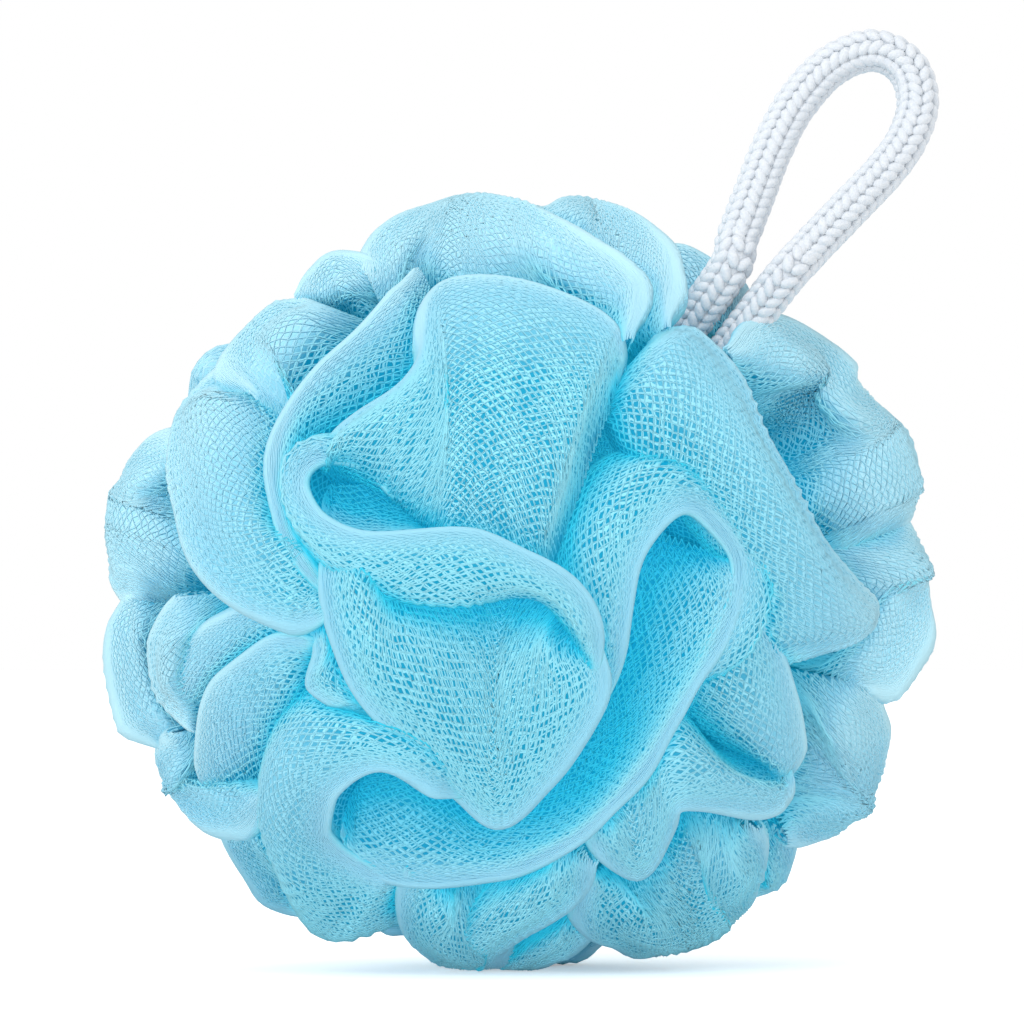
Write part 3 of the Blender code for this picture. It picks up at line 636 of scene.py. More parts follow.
class FoldSurface:
    """A fold's surface. Places on it go by how far along its rim and how far from its rim they are."""

    def __init__(self, fold, placing, inset=0.0):
        last = len(fold.rim) - 1
        places = np.linspace(0, last, FINE_COLUMNS)
        rim = curve_at(on_ball(fold.rim, fold.rim_below), places)
        foot = curve_at(on_ball(fold.foot, fold.foot_below), places)
        facing = unit(np.cross(np.gradient(rim + foot, axis=0), rim - foot))
        if facing[:, 1].sum() > 0:
            facing = -facing
        facing = unit(smoothed(facing, FACING_SMOOTHING))
        full = np.sin(np.pi / 2 * np.clip(np.minimum(places, last - places) / END_SPANS, 0, 1))[:, None]
        outwards = unit(rim - foot)
        inwards = -unit(facing - outwards * (facing * outwards).sum(axis=1, keepdims=True))
        radius = fold.radius * MILLIMETRE * np.maximum(full, END_FULLNESS)
        edge = rim - outwards * radius
        section = self.deep_run(foot, -outwards)[::-1]
        for share in np.linspace(0, 1, FACE_STEPS):
            swell = 4 * fold.swell * MILLIMETRE * share * (1 - share) * full
            section.append(foot + (edge - foot) * share + facing * swell + inwards * inset)
        rolled = np.maximum(radius - inset, 0.1 * MILLIMETRE)
        for angle in np.linspace(0, np.pi, ROLL_STEPS)[1:]:
            section.append(
                edge + inwards * radius + rolled * (np.sin(angle) * outwards - np.cos(angle) * inwards)
            )
        apex = len(section) - ROLL_STEPS // 2
        section += self.deep_run(section[-1], -outwards)
        grid = smoothed(np.array(section), SECTION_SMOOTHING).transpose(1, 0, 2)
        grid = self.without_creases(grid)
        sink = END_SINK * (1 - np.clip(np.minimum(places, last - places) / END_SPANS, 0, 1))
        grid = grid + unit(ROOT_MIDDLE - grid) * sink[:, None, None] * MILLIMETRE
        steps = np.linalg.norm(np.diff(grid, axis=1), axis=2).cumsum(axis=1)
        self.distance = np.concatenate([np.zeros((FINE_COLUMNS, 1)), steps], axis=1)
        self.distance -= self.distance[:, apex : apex + 1]
        self.face_length = -self.distance[:, DEEP_STEPS]
        self.grid = grid
        self.facing = facing
        self.placing = placing
        self.fold = fold

    @staticmethod
    def without_creases(grid):
        """The folded rim keeps its line, and the face is softened along the fold, the more the deeper."""
        face = DEEP_STEPS + FACE_STEPS
        share = np.ones(grid.shape[1])
        share[:face] = np.clip(np.linspace(CREASE_FADE, 0.0, face), 0, 1)
        share[face:] = 0
        share = share[None, :, None]
        for _ in range(CREASE_SMOOTHING):
            middle = grid.copy()
            middle[1:-1] = (grid[:-2] + 2 * grid[1:-1] + grid[2:]) / 4
            grid = grid * (1 - share) + middle * share
        return grid

    @staticmethod
    def deep_run(start, onwards):
        """The netting's way on from the start, turning down to its root in the ball."""
        run = []
        to_root = unit(ROOT_MIDDLE - start)
        for step in range(1, DEEP_STEPS + 1):
            share = step / DEEP_STEPS
            straight = (1 - share) ** DEEP_TURN
            run.append(start + DEEP_REACH * share * unit(straight * onwards + (1 - straight) * to_root))
        return run

    def at(self, distances):
        """The spots at these distances from the rim, for each fine column, and the way they face."""
        spots = np.empty((FINE_COLUMNS, len(distances), 3))
        for column in range(FINE_COLUMNS):
            for axis in range(3):
                spots[column, :, axis] = np.interp(
                    distances, self.distance[column], self.grid[column, :, axis]
                )
        facing = unit(np.cross(np.gradient(spots, axis=0), np.gradient(spots, axis=1)))
        past_rim = distances < -2 * self.fold.radius * MILLIMETRE
        on_face = past_rim & (distances > -self.face_length.mean())
        if (facing[:, on_face] * self.facing[:, None]).sum() < 0:
            facing = -facing
        turn = np.array(self.placing.to_3x3().normalized())
        spots = spots @ np.array(self.placing.to_3x3()).T + np.array(self.placing.translation)
        return soft_floor(spots), facing @ turn.T


class Bed:
    """One fold as it lies in the ball: its surface, and the grid that its lining is made on."""

    def __init__(self, fold, placing, gap):
        self.surface = FoldSurface(fold, placing)
        below = FoldSurface(fold, placing, gap)
        deepest = below.face_length.max() + LINING_DEEPER
        self.distances = np.concatenate([
            np.arange(-deepest, -RIM_REACH, FACE_STEP),
            np.arange(-RIM_REACH, RIM_REACH, RIM_STEP),
            np.arange(RIM_REACH, LINING_BEHIND, FACE_STEP),
        ])
        spots, facing = below.at(self.distances)
        self.spots = spots[::COLUMN_STEP]
        self.facing = facing[::COLUMN_STEP]
        self.open = None

    def measure(self, hollows):
        """Keeps how openly each spot of the grid lies, softened a little."""
        shape = self.spots.shape[:2]
        share = hollows.openness(self.spots.reshape(-1, 3), self.facing.reshape(-1, 3)).reshape(shape)
        self.open = smoothed(smoothed(share, 1).T, 1).T

    def open_at(self, places, distances):
        """How openly the netting lies at these fine columns and distances from the rim."""
        columns = np.clip(places / COLUMN_STEP, 0, len(self.open) - SHORT_OF_LAST)
        rows = np.interp(distances, self.distances, np.arange(len(self.distances)))
        rows = np.clip(rows, 0, len(self.distances) - SHORT_OF_LAST)
        column, row = columns.astype(int), rows.astype(int)
        right, up = (columns - column)[:, None], (rows - row)[None, :]
        here = self.open[np.ix_(column, row)] * (1 - up) + self.open[np.ix_(column, row + 1)] * up
        there = self.open[np.ix_(column + 1, row)] * (1 - up) + self.open[np.ix_(column + 1, row + 1)] * up
        return here * (1 - right) + there * right


class Hollows:
    """All linings together, to tell how openly a spot lies."""

    def __init__(self, pieces):
        verts, faces = [], []
        for piece in pieces:
            count = len(verts)
            verts += [tuple(vertex.co) for vertex in piece.data.vertices]
            faces += [tuple(count + index for index in face.vertices) for face in piece.data.polygons]
        self.tree = BVHTree.FromPolygons(verts, faces)
        height = 1 - 2 * (np.arange(WAYS) + 0.5) / WAYS
        turn = np.arange(WAYS) * math.pi * (3 - math.sqrt(5))
        level = np.sqrt(1 - height**2)
        self.ways = np.stack([level * np.cos(turn), level * np.sin(turn), height], axis=1)

    def openness(self, spots, facing):
        """The share of the ways outwards, 0 to 1, on which nothing is in the way."""
        slant = facing @ self.ways.T
        starts = (spots + facing * WAY_START).tolist()
        ways = self.ways.tolist()
        cast = self.tree.ray_cast
        open_ways = np.zeros(slant.shape, bool)
        for spot, way in np.argwhere(slant > LEAST_SLANT).tolist():
            if cast(starts[spot], ways[way], WAY_LENGTH)[0] is None:
                open_ways[spot, way] = True
        weight = np.where(slant > LEAST_SLANT, slant, 0.0)
        return (weight * open_ways).sum(axis=1) / np.maximum(weight.sum(axis=1), 1e-6)


def from_rim(distances):
    """0 on the dense folded edge, to 1 where the face lies open."""
    return np.clip((np.abs(distances) - EDGE_WIDTH) / EDGE_FADE, 0, 1)


def tone_of(spots, openness, distances):
    """0 for the palest netting, painted light at the outermost rims, to 1 for the deepest blue, painted
    shade between the folds.
    """
    place = (spots - MIDDLE) / HALF_SIZE
    # Painted light towards the outline seen from the front, left out on the shaded underside
    outer_light = np.clip((np.hypot(place[..., 0], place[..., 2]) - OUTER_START) / OUTER_FADE, 0, 1)
    outer_light = outer_light * np.clip((place[..., 2] - UNDERSIDE) / UNDERSIDE_FADE, 0, 1)
    rim_tone = TONE_STOPS[1] * (1 - outer_light)
    # The open face takes its own colour, and the gaps below it a deeper painted shade
    face_tone = FACE_TONE * from_rim(distances) * (1 - OUTER_FACE_SHARE * outer_light)
    # Painted shade: the less openly a spot lies, the deeper blue it is painted
    hollow_shade_tone = HOLLOW_SHADE_TONE * np.maximum(OPEN_ENOUGH - openness, 0.0) * (1 - OUTER_SHADE_SHARE * outer_light)
    return np.clip(rim_tone + face_tone + hollow_shade_tone, 0, 1)


def row_distances(surface, look, coarseness):
    """How far each row of knots lies from the rim, negative on the face, close together at the rim."""
    deepest = surface.face_length.max() + ROWS_DEEPER
    front = [0.0]
    while front[-1] > -deepest:
        share = min(max(-front[-1] - CLOSE_REACH, 0.0) / OPENING_REACH, 1.0)
        front.append(front[-1] - coarseness * (look.rim_row + (look.face_row - look.rim_row) * share))
    back = [look.rim_row]
    while back[-1] < ROWS_BEHIND:
        back.append(back[-1] + coarseness * look.rim_row * BEHIND_ROW)
    return np.array(front[::-1] + back)


def read_columns(values, places):
    """The values between fine columns."""
    start = np.clip(places.astype(int), 0, len(values) - 2)
    share = (places - start)[:, None, None]
    return values[start] * (1 - share) + values[start + 1] * share


def wavy(spots, random, height):
    """A smooth irregular height at each spot, the sum of a few slanted waves."""
    total = np.zeros(spots.shape[:-1])
    for _ in range(WAVE_COUNT):
        way = unit(random.normal(size=3)) * 2 * np.pi / (WAVE_LENGTH * random.uniform(*WAVE_RANGE))
        total += np.sin(spots @ way + random.uniform(0, 2 * np.pi))
    return height * total / math.sqrt(WAVE_COUNT / 2)


class StrandMesh:
    """Gathers the strands of many folds into one mesh."""

    def __init__(self):
        self.verts = []
        self.faces = []
        self.tones = []
        self.places = []
        self.count = 0

    def add_strands(self, line, facing, tone, seen, radius):
        """A three-sided strand along each line of an array of lines, where it is seen."""
        rows, length = line.shape[:2]
        along = unit(np.gradient(line, axis=1))
        side = unit(np.cross(along, facing))
        up = np.cross(side, along)
        ring = []
        for corner in (90, 210, 330):
            angle = math.radians(corner)
            ring.append(line + radius * (math.cos(angle) * side + math.sin(angle) * up))
        base = self.count + (np.arange(rows)[:, None] * length + np.arange(length - 1)) * 3
        base = base[seen[:, :-1] | seen[:, 1:]]
        for a, b in ((0, 1), (1, 2), (2, 0)):
            self.faces.append(np.stack([base + a, base + b, base + 3 + b, base + 3 + a], axis=-1))
        self.verts.append(np.stack(ring, axis=2).reshape(-1, 3))
        self.tones.append(np.repeat(tone.reshape(-1), 3))
        parity = np.broadcast_to(np.arange(length) % 2, (rows, length))
        across = np.repeat((TONE_START + TONE_SPAN * tone + TONE_STEP * parity).reshape(-1), 3)
        down = np.tile(TONE_ROW * (1 + np.arange(3)), rows * length)
        self.places.append(np.stack([across, down], axis=1))
        self.count += rows * length * 3

    def make(self, name):
        """The strands as one piece, with a map that gives each stretch of strand its tone's colour."""
        faces = np.concatenate(self.faces)
        used = np.zeros(self.count, bool)
        used[faces] = True
        faces = (np.cumsum(used) - 1)[faces]
        places = np.concatenate(self.places)[used]
        piece = new_piece(name, np.concatenate(self.verts)[used], faces)
        set_attribute(piece, "tone", np.concatenate(self.tones)[used])
        tone_map = piece.data.uv_layers.new(name="OFBake")
        tone_map.data.foreach_set("uv", places[faces.reshape(-1)].reshape(-1))
        return piece


def new_piece(name, verts, faces):
    """A new smooth object from points and faces."""
    mesh = bpy.data.meshes.new(name)
    mesh.from_pydata(verts, [], faces.tolist() if isinstance(faces, np.ndarray) else faces)
    mesh.shade_smooth()
    obj = bpy.data.objects.new(name, mesh)
    bpy.context.collection.objects.link(obj)
    return obj


def set_attribute(piece, name, values):
    """Keeps a number, or a vector, at each point of a piece."""
    kind, field = ("FLOAT", "value") if values.ndim == 1 else ("FLOAT_VECTOR", "vector")
    attribute = piece.data.attributes.new(name, kind, "POINT")
    attribute.data.foreach_set(field, values.reshape(-1))


def lay_net(strands, bed, look, random, coarseness):
    """Lays the diamond netting of one fold: zigzag strands that meet at knots, drawn straight at the rim."""
    surface = bed.surface
    distances = row_distances(surface, look, coarseness)
    spots, facing = surface.at(distances)
    width = np.linalg.norm(np.diff(spots, axis=0), axis=2).sum(axis=0)
    cells = max(int(round(width.mean() / (look.cell_width * coarseness))), 4)
    steps = np.linalg.norm(np.diff(spots.mean(axis=1), axis=0), axis=1)
    along = np.concatenate([[0.0], steps.cumsum()])
    knots = []
    for shares in (np.arange(cells + 1) / cells, (np.arange(cells) + 0.5) / cells):
        places = np.interp(shares * along[-1], along, np.arange(FINE_COLUMNS))
        place = read_columns(spots, places)
        way = unit(read_columns(facing, places))
        place += way * wavy(place, random, look.unevenness)[..., None]
        scatter = random.normal(size=place.shape) * look.cell_width * KNOT_SCATTER
        scatter -= way * (scatter * way).sum(axis=2, keepdims=True)
        place += scatter * (RIM_SCATTER + (1 - RIM_SCATTER) * from_rim(distances))[None, :, None]
        place[..., 2] = np.maximum(place[..., 2], FLOOR_CLEARANCE)
        openness = bed.open_at(places, distances)
        knots.append((place, way, tone_of(place, openness, distances), openness))
    rows = len(distances) - 1
    line = np.empty((rows, 2 * cells + 1, 3))
    line_facing = np.empty_like(line)
    tone = np.empty((rows, 2 * cells + 1))
    openness = np.empty_like(tone)
    even, odd = knots
    for row in range(rows):
        lower, upper = (row, row + 1) if row % 2 == 0 else (row + 1, row)
        for source, target in enumerate((line, line_facing, tone, openness)):
            target[row, 0::2] = even[source][:, lower]
            target[row, 1::2] = odd[source][:, upper]
    straight = line.copy()
    straight[:, 1:-1] = (line[:, :-2] + 2 * line[:, 1:-1] + line[:, 2:]) / 4
    share = np.clip(ZIGZAG_RETURN * from_rim((distances[:-1] + distances[1:]) / 2), 0, 1)[:, None, None]
    line = straight * (1 - share) + line * share
    radius = look.strand_width / 2 / math.cos(math.radians(30))
    strands.add_strands(line, line_facing, tone, openness > HIDDEN, radius)


def make_lining(name, beds):
    """The layers of netting below the strands, as one thin closed sheet under each fold."""
    verts, faces, places = [], [], []
    count = 0
    for bed in beds:
        columns, rows = bed.spots.shape[:2]
        size = columns * rows
        index = np.arange(size).reshape(columns, rows)
        quads = np.stack([index[:-1, :-1], index[1:, :-1], index[1:, 1:], index[:-1, 1:]], axis=-1)
        quads = quads.reshape(-1, 4)
        rim = np.concatenate([index[:, 0], index[-1, 1:], index[-2::-1, -1], index[0, -2:0:-1]])
        after = np.roll(rim, -1)
        walls = np.stack([after, rim, rim + size, after + size], axis=1)
        along = np.linalg.norm(np.diff(bed.spots, axis=0), axis=2).mean(axis=1).cumsum()
        along = np.concatenate([[0.0], along])
        place = np.zeros((columns, rows, 3))
        place[..., 0] = along[:, None] / MILLIMETRE
        place[..., 1] = bed.distances / MILLIMETRE
        for offset in (0.0, LINING_THICKNESS):
            verts.append((bed.spots - bed.facing * offset).reshape(-1, 3))
            places.append(place.reshape(-1, 3))
        faces += [quads + count, quads[:, ::-1] + size + count, walls + count]
        count += 2 * size
    piece = new_piece(name, np.concatenate(verts), np.concatenate(faces))
    set_attribute(piece, "net_place", np.concatenate(places))
    return piece


def about_middle(turn, shrink):
    """Turns a fold round to the back, turned about the depth axis and a little smaller."""
    there = Matrix.Translation(Vector(MIDDLE))
    back = Matrix.Rotation(math.pi, 4, "Z") @ Matrix.Rotation(math.radians(turn), 4, "Y")
    return there @ back @ Matrix.Scale(shrink, 4) @ there.inverted()


def math_node(nodes, links, operation, *values):
    """A Math node whose inputs are sockets or numbers, and its output."""
    node = nodes.new("ShaderNodeMath")
    node.operation = operation
    for socket, value in zip(node.inputs, values):
        if isinstance(value, (int, float)):
            socket.default_value = value
        else:
            links.new(value, socket)
    return node.outputs[0]


def set_inputs(node, values):
    """Sets a node's inputs to plain values by their names."""
    for name, value in values.items():
        node.inputs[name].default_value = value


def new_group(name, inputs, outputs):
    """A node group with these sockets, and the nodes that bring its inputs and take its outputs."""
    group = bpy.data.node_groups.new(name, "ShaderNodeTree")
    for side, sockets in (("INPUT", inputs), ("OUTPUT", outputs)):
        for socket, kind in sockets.items():
            group.interface.new_socket(socket, in_out=side, socket_type="NodeSocket" + kind)
    return group, group.nodes.new("NodeGroupInput"), group.nodes.new("NodeGroupOutput")


def tint_group(look):
    """Node group: the netting's colour for a tone, for its strands and for the gaps between them, which are
    painted darker as painted shade of the layers below.
    """
    name = "netting_tint"
    if name in bpy.data.node_groups:
        return bpy.data.node_groups[name]
    stops = {
        "Strand": (look.lit_outer_colour, look.rim_colour, look.face_colour, look.hollow_shade_colour),
        "Shaded gap": (look.lit_outer_gap_shade_colour, look.rim_gap_shade_colour, look.face_gap_shade_colour, look.hollow_gap_shade_colour),
        "Glow": ((0, 0, 0), (0, 0, 0), (0, 0, 0), look.glow_colour),
    }
    group, given, result = new_group(name, {"Tone": "Float"}, dict.fromkeys(stops, "Color"))
    for output, colours in stops.items():
        ramp = group.nodes.new("ShaderNodeValToRGB")
        for place in TONE_STOPS[1:-1]:
            ramp.color_ramp.elements.new(place)
        for element, colour in zip(ramp.color_ramp.elements, colours):
            element.color = (*colour, 1.0)
        group.links.new(given.outputs["Tone"], ramp.inputs["Fac"])
        group.links.new(ramp.outputs["Color"], result.inputs[output])
    return group


def net_group():
    """Node group: a mask of diamond netting, 1 on its strands, from a place in millimetres."""
    name = "netting_pattern"
    if name in bpy.data.node_groups:
        return bpy.data.node_groups[name]
    inputs = {"Place": "Vector", "Cell width": "Float", "Cell height": "Float"}
    group, given, result = new_group(name, inputs, {"Mask": "Float"})
    nodes, links = group.nodes, group.links
    noise = nodes.new("ShaderNodeTexNoise")
    noise.inputs["Scale"].default_value = WANDER_SCALE
    links.new(given.outputs["Place"], noise.inputs["Vector"])
    warp = nodes.new("ShaderNodeVectorMath")
    warp.operation = "MULTIPLY_ADD"
    warp.inputs[1].default_value = DRAWN_WANDER
    links.new(noise.outputs["Color"], warp.inputs[0])
    links.new(given.outputs["Place"], warp.inputs[2])
    parts = nodes.new("ShaderNodeSeparateXYZ")
    links.new(warp.outputs[0], parts.inputs[0])
    across = math_node(nodes, links, "DIVIDE", parts.outputs[0], given.outputs["Cell width"])
    down = math_node(nodes, links, "DIVIDE", parts.outputs[1], given.outputs["Cell height"])
    lines = []
    for operation in ("ADD", "SUBTRACT"):
        slant = math_node(nodes, links, operation, across, down)
        lines.append(math_node(nodes, links, "PINGPONG", slant, 0.5))
    ease = nodes.new("ShaderNodeMapRange")
    ease.interpolation_type = "SMOOTHSTEP"
    set_inputs(ease, {"From Min": DRAWN_LINE[1], "From Max": DRAWN_LINE[0]})
    links.new(math_node(nodes, links, "MINIMUM", *lines), ease.inputs["Value"])
    links.new(ease.outputs["Result"], result.inputs["Mask"])
    return group


def new_material(name):
    """A new material with its Principled shader, its nodes and its links."""
    material = bpy.data.materials.new(name)
    material.use_nodes = True
    nodes = material.node_tree.nodes
    return material, nodes["Principled BSDF"], nodes, material.node_tree.links


def tinted(shader, nodes, links, look):
    """The node with the netting's colours for a piece's own tones, its glow wired to the shader."""
    tone = nodes.new("ShaderNodeAttribute")
    tone.attribute_name = "tone"
    tint = nodes.new("ShaderNodeGroup")
    tint.node_tree = tint_group(look)
    links.new(tone.outputs["Fac"], tint.inputs["Tone"])
    links.new(tint.outputs["Glow"], shader.inputs["Emission Color"])
    set_inputs(shader, {"Emission Strength": look.glow_strength, "Specular IOR Level": 0.2})
    return tint


def add_bump(shader, nodes, links, height, strength, distance):
    """A bump on a material."""
    bump = nodes.new("ShaderNodeBump")
    set_inputs(bump, {"Strength": strength, "Distance": distance})
    links.new(height, bump.inputs["Height"])
    links.new(bump.outputs["Normal"], shader.inputs["Normal"])


def strand_material(look):
    """The net's strands: pale at the rims, paler on the outermost folds as painted light, deeper blue in the
    hollows as painted shade, with a soft satin gleam.
    """
    material, shader, nodes, links = new_material("net_strand")
    tint = tinted(shader, nodes, links, look)
    links.new(tint.outputs["Strand"], shader.inputs["Base Color"])
    shader.inputs["Roughness"].default_value = 0.5
    return material


def lining_material(look):
    """The layers below: the same netting again, drawn as colour and bump, with the gaps between its drawn
    strands painted darker as painted shade.
    """
    material, shader, nodes, links = new_material("net_below")
    tint = tinted(shader, nodes, links, look)
    place = nodes.new("ShaderNodeAttribute")
    place.attribute_name = "net_place"
    net = nodes.new("ShaderNodeGroup")
    net.node_tree = net_group()
    set_inputs(net, {"Cell width": DRAWN_CELL[0], "Cell height": DRAWN_CELL[1]})
    links.new(place.outputs["Vector"], net.inputs["Place"])
    mix = nodes.new("ShaderNodeMix")
    mix.data_type = "RGBA"
    links.new(net.outputs["Mask"], mix.inputs["Factor"])
    links.new(tint.outputs["Shaded gap"], mix.inputs["A"])
    links.new(tint.outputs["Strand"], mix.inputs["B"])
    links.new(mix.outputs["Result"], shader.inputs["Base Color"])
    add_bump(shader, nodes, links, net.outputs["Mask"], strength=0.5, distance=0.0003)
    shader.inputs["Roughness"].default_value = 0.6
    return material


def fibre_material(name, colour):
    """White fibres: fine streaks in colour and bump, with a soft sheen."""
    material, shader, nodes, links = new_material(name)
    spot = nodes.new("ShaderNodeTexCoord")
    noise = nodes.new("ShaderNodeTexNoise")
    set_inputs(noise, {"Scale": FIBRE_SCALE, "Detail": 3.0})
    links.new(spot.outputs["Object"], noise.inputs["Vector"])
    ramp = nodes.new("ShaderNodeValToRGB")
    dark, light = ramp.color_ramp.elements
    dark.position, light.position = 0.3, 0.7
    dark.color = (*(np.array(colour) * FIBRE_SHADE), 1.0)
    light.color = (*colour, 1.0)
    links.new(noise.outputs["Fac"], ramp.inputs["Fac"])
    links.new(ramp.outputs["Color"], shader.inputs["Base Color"])
    add_bump(shader, nodes, links, noise.outputs["Fac"], strength=0.6, distance=0.0002)
    set_inputs(shader, {"Roughness": 0.7, "Sheen Weight": 0.3})
    return material


def dress(obj, node, material):
    """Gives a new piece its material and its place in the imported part."""
    obj.data.materials.append(material)
    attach(obj, "root")
    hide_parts(node)


def cached_material(name, make, *values):
    """The material of this name, made when it isn't there yet."""
    return bpy.data.materials.get(name) or make(*values)


class Laid:
    """Kept from one operator to the next: each group's folds as they lie, and the hollows between them."""

    beds = {}
    hollows = None


def folds_of(group):
    """A group's folds, where they go, and how much coarser their netting is."""
    look = bpy.context.scene.netting_look
    front = Matrix.Identity(4)
    coarse = look.back_coarseness
    half = len(CENTRE_FOLDS) // 2
    return {
        "centre": (CENTRE_FOLDS[:half], front, 1.0),
        "arches": (CENTRE_FOLDS[half:], front, 1.0),
        "right": (RIGHT_FOLDS, front, 1.0),
        "top": (TOP_FOLDS, front, 1.0),
        "left": (LEFT_FOLDS, front, 1.0),
        "bottom": (BOTTOM_FOLDS, front, 1.0),
        "back_foot": ([BACK_FOOT_FOLD], about_middle(0.0, 1.0), coarse),
        "back_centre": (CENTRE_FOLDS, about_middle(BACK_CENTRE_TURN, BACK_CENTRE_SHRINK), coarse),
        "back_right": (RIGHT_FOLDS + TOP_FOLDS, about_middle(BACK_EDGE_TURN, BACK_EDGE_SHRINK), coarse),
        "back_left": (LEFT_FOLDS + BOTTOM_FOLDS, about_middle(BACK_EDGE_TURN, BACK_EDGE_SHRINK), coarse),
    }[group]


def lay_group(group):
    """One group of folds: its strands, and the tone of its lining."""
    look = bpy.context.scene.netting_look
    if Laid.hollows is None:
        names = [name + "_lining" for name in GROUPS] + ["gathered_core"]
        Laid.hollows = Hollows([bpy.data.objects[name] for name in names])
    coarseness = folds_of(group)[2]
    random = np.random.default_rng(look.seed + GROUPS.index(group))
    strands = StrandMesh()
    tones = []
    for bed in Laid.beds[group]:
        bed.measure(Laid.hollows)
        tones += [tone_of(bed.spots, bed.open, bed.distances).reshape(-1)] * 2
        lay_net(strands, bed, look, random, coarseness)
    lining = bpy.data.objects[group + "_lining"]
    set_attribute(lining, "tone", np.concatenate(tones))
    lining.visible_shadow = False
    net = strands.make(group + "_netting")
    net.visible_shadow = False
    net.visible_diffuse = False
    dress(net, "netting", cached_material("net_strand", strand_material, look))


class RopeFrame:
    """Where the rope's two legs run: straight out of the knot, side by side, then into the loop."""

    def __init__(self):
        loop = [in_picture(*point) for point in ROPE_ROUTE]
        self.out = unit((loop[0] + loop[-1]) / 2 - MIDDLE)
        across = loop[-1] - loop[0]
        self.across = unit(across - self.out * across.dot(self.out))
        self.loop = loop

    def at(self, across, out):
        """The spot so far to the side of the ball's middle and so far out from it."""
        return MIDDLE + self.across * across + self.out * out


def in_picture(x, z, forward):
    """A picture point that lies so many millimetres in front of the ball's middle."""
    return MIDDLE + np.array((
        (x - PICTURE_MIDDLE[0]) / PICTURE_HALF_WIDTH * HALF_SIZE[0],
        -forward * MILLIMETRE,
        (PICTURE_MIDDLE[1] - z) / PICTURE_HALF_HEIGHT * HALF_SIZE[2],
    ))


def rope_route(spacing):
    """The rope from the knot, up its left leg, round the loop and back down, read at even distances."""
    ropes = RopeFrame()
    start = KNOT_SCALE + ROPE_DIAMETER / 2 + ROPE_CLEARANCE
    straight = (start, start + LEG_STRAIGHT / 2, start + LEG_STRAIGHT)
    left = [ropes.at(-LEG_SPACING / 2, out) for out in straight]
    right = [ropes.at(LEG_SPACING / 2, out) for out in straight]
    points = np.array(left + ropes.loop + right[::-1])
    fine = curve_at(points, np.linspace(0, len(points) - 1, ROUTE_FINENESS * len(points)))
    along = np.concatenate([[0.0], np.linalg.norm(np.diff(fine, axis=0), axis=1).cumsum()])
    count = max(round(along[-1] / spacing), 2)
    even = np.linspace(0, along[-1], count + 1)
    return np.stack([np.interp(even, along, fine[:, axis]) for axis in range(3)], axis=1), along[-1]


def stitch_shape(segments=8, rings=5):
    """A plump stitch of length, width and height one, about the origin, along its first axis."""
    verts = [(-0.5, 0.0, 0.0)]
    for ring in range(1, rings):
        angle = math.pi * ring / rings
        for segment in range(segments):
            turn = 2 * math.pi * segment / segments
            reach = 0.5 * math.sin(angle) ** STITCH_PLUMPNESS
            verts.append((-0.5 * math.cos(angle), reach * math.cos(turn), reach * math.sin(turn)))
    verts.append((0.5, 0.0, 0.0))
    quads, tris = [], []
    for ring in range(rings - 2):
        for segment in range(segments):
            a = 1 + ring * segments + segment
            b = 1 + ring * segments + (segment + 1) % segments
            quads.append((a, a + segments, b + segments, b))
    last = len(verts) - 1
    for segment in range(segments):
        after = (segment + 1) % segments
        tris.append((0, 1 + segment, 1 + after))
        tris.append((last, last - segments + after, last - segments + segment))
    return np.array(verts), quads, tris


def build_rope():
    """The solid braid: columns of plump slanted stitches round a core, along the CAD tube's route."""
    look = bpy.context.scene.rope_look
    route, length = rope_route(look.stitch_pitch)
    along = unit(np.gradient(route, axis=0))
    side = np.empty_like(route)
    previous = RopeFrame().across
    for index, way in enumerate(along):
        previous = unit(previous - way * previous.dot(way))
        side[index] = previous
    up = np.cross(along, side)
    radius = ROPE_DIAMETER / 2
    shape, quads, tris = stitch_shape()
    stitch_size = np.array((STITCH_LENGTH * look.stitch_pitch, STITCH_WIDTH, STITCH_HEIGHT))
    random = np.random.default_rng(look.stitch_columns)
    verts, faces = [], []
    count = 0
    for index in range(1, len(route) - 1):
        for column in range(look.stitch_columns):
            angle = 2 * math.pi * column / look.stitch_columns
            outwards = math.cos(angle) * side[index] + math.sin(angle) * up[index]
            round_way = -math.sin(angle) * side[index] + math.cos(angle) * up[index]
            slant = STITCH_SLANT + random.uniform(-SLANT_SCATTER, SLANT_SCATTER)
            slant = math.radians(slant) * (1 if column % 2 else -1)
            first = math.cos(slant) * along[index] + math.sin(slant) * round_way
            second = np.cross(outwards, first)
            shift = look.stitch_pitch * COLUMN_SHIFT * (column // 2 % 2)
            spot = route[index] + outwards * (radius - STITCH_DEPTH) + along[index] * shift
            turned = shape * (stitch_size * random.uniform(*SIZE_SCATTER, 3))
            verts.append(spot + turned[:, :1] * first + turned[:, 1:2] * second + turned[:, 2:] * outwards)
            faces += [tuple(count + v for v in face) for face in quads + tris]
            count += len(shape)
    sides = BRAID_CORE_SIDES
    angles = 2 * np.pi * np.arange(sides)[:, None] / sides
    for index in range(len(route)):
        ring = np.cos(angles) * side[index] + np.sin(angles) * up[index]
        verts.append(route[index] + (radius - BRAID_CORE_DEPTH) * ring)
    for index in range(len(route) - 1):
        for step in range(sides):
            a = count + index * sides + step
            b = count + index * sides + (step + 1) % sides
            faces.append((a, b, b + sides, a + sides))
    faces.append(tuple(count + step for step in range(sides))[::-1])
    faces.append(tuple(count + (len(route) - 1) * sides + step for step in range(sides)))
    loop = new_piece("braided_loop", np.concatenate(verts), faces)
    fibres = cached_material("rope_fibre", fibre_material, "rope_fibre", look.rope_colour)
    dress(loop, "hanging_loop", fibres)


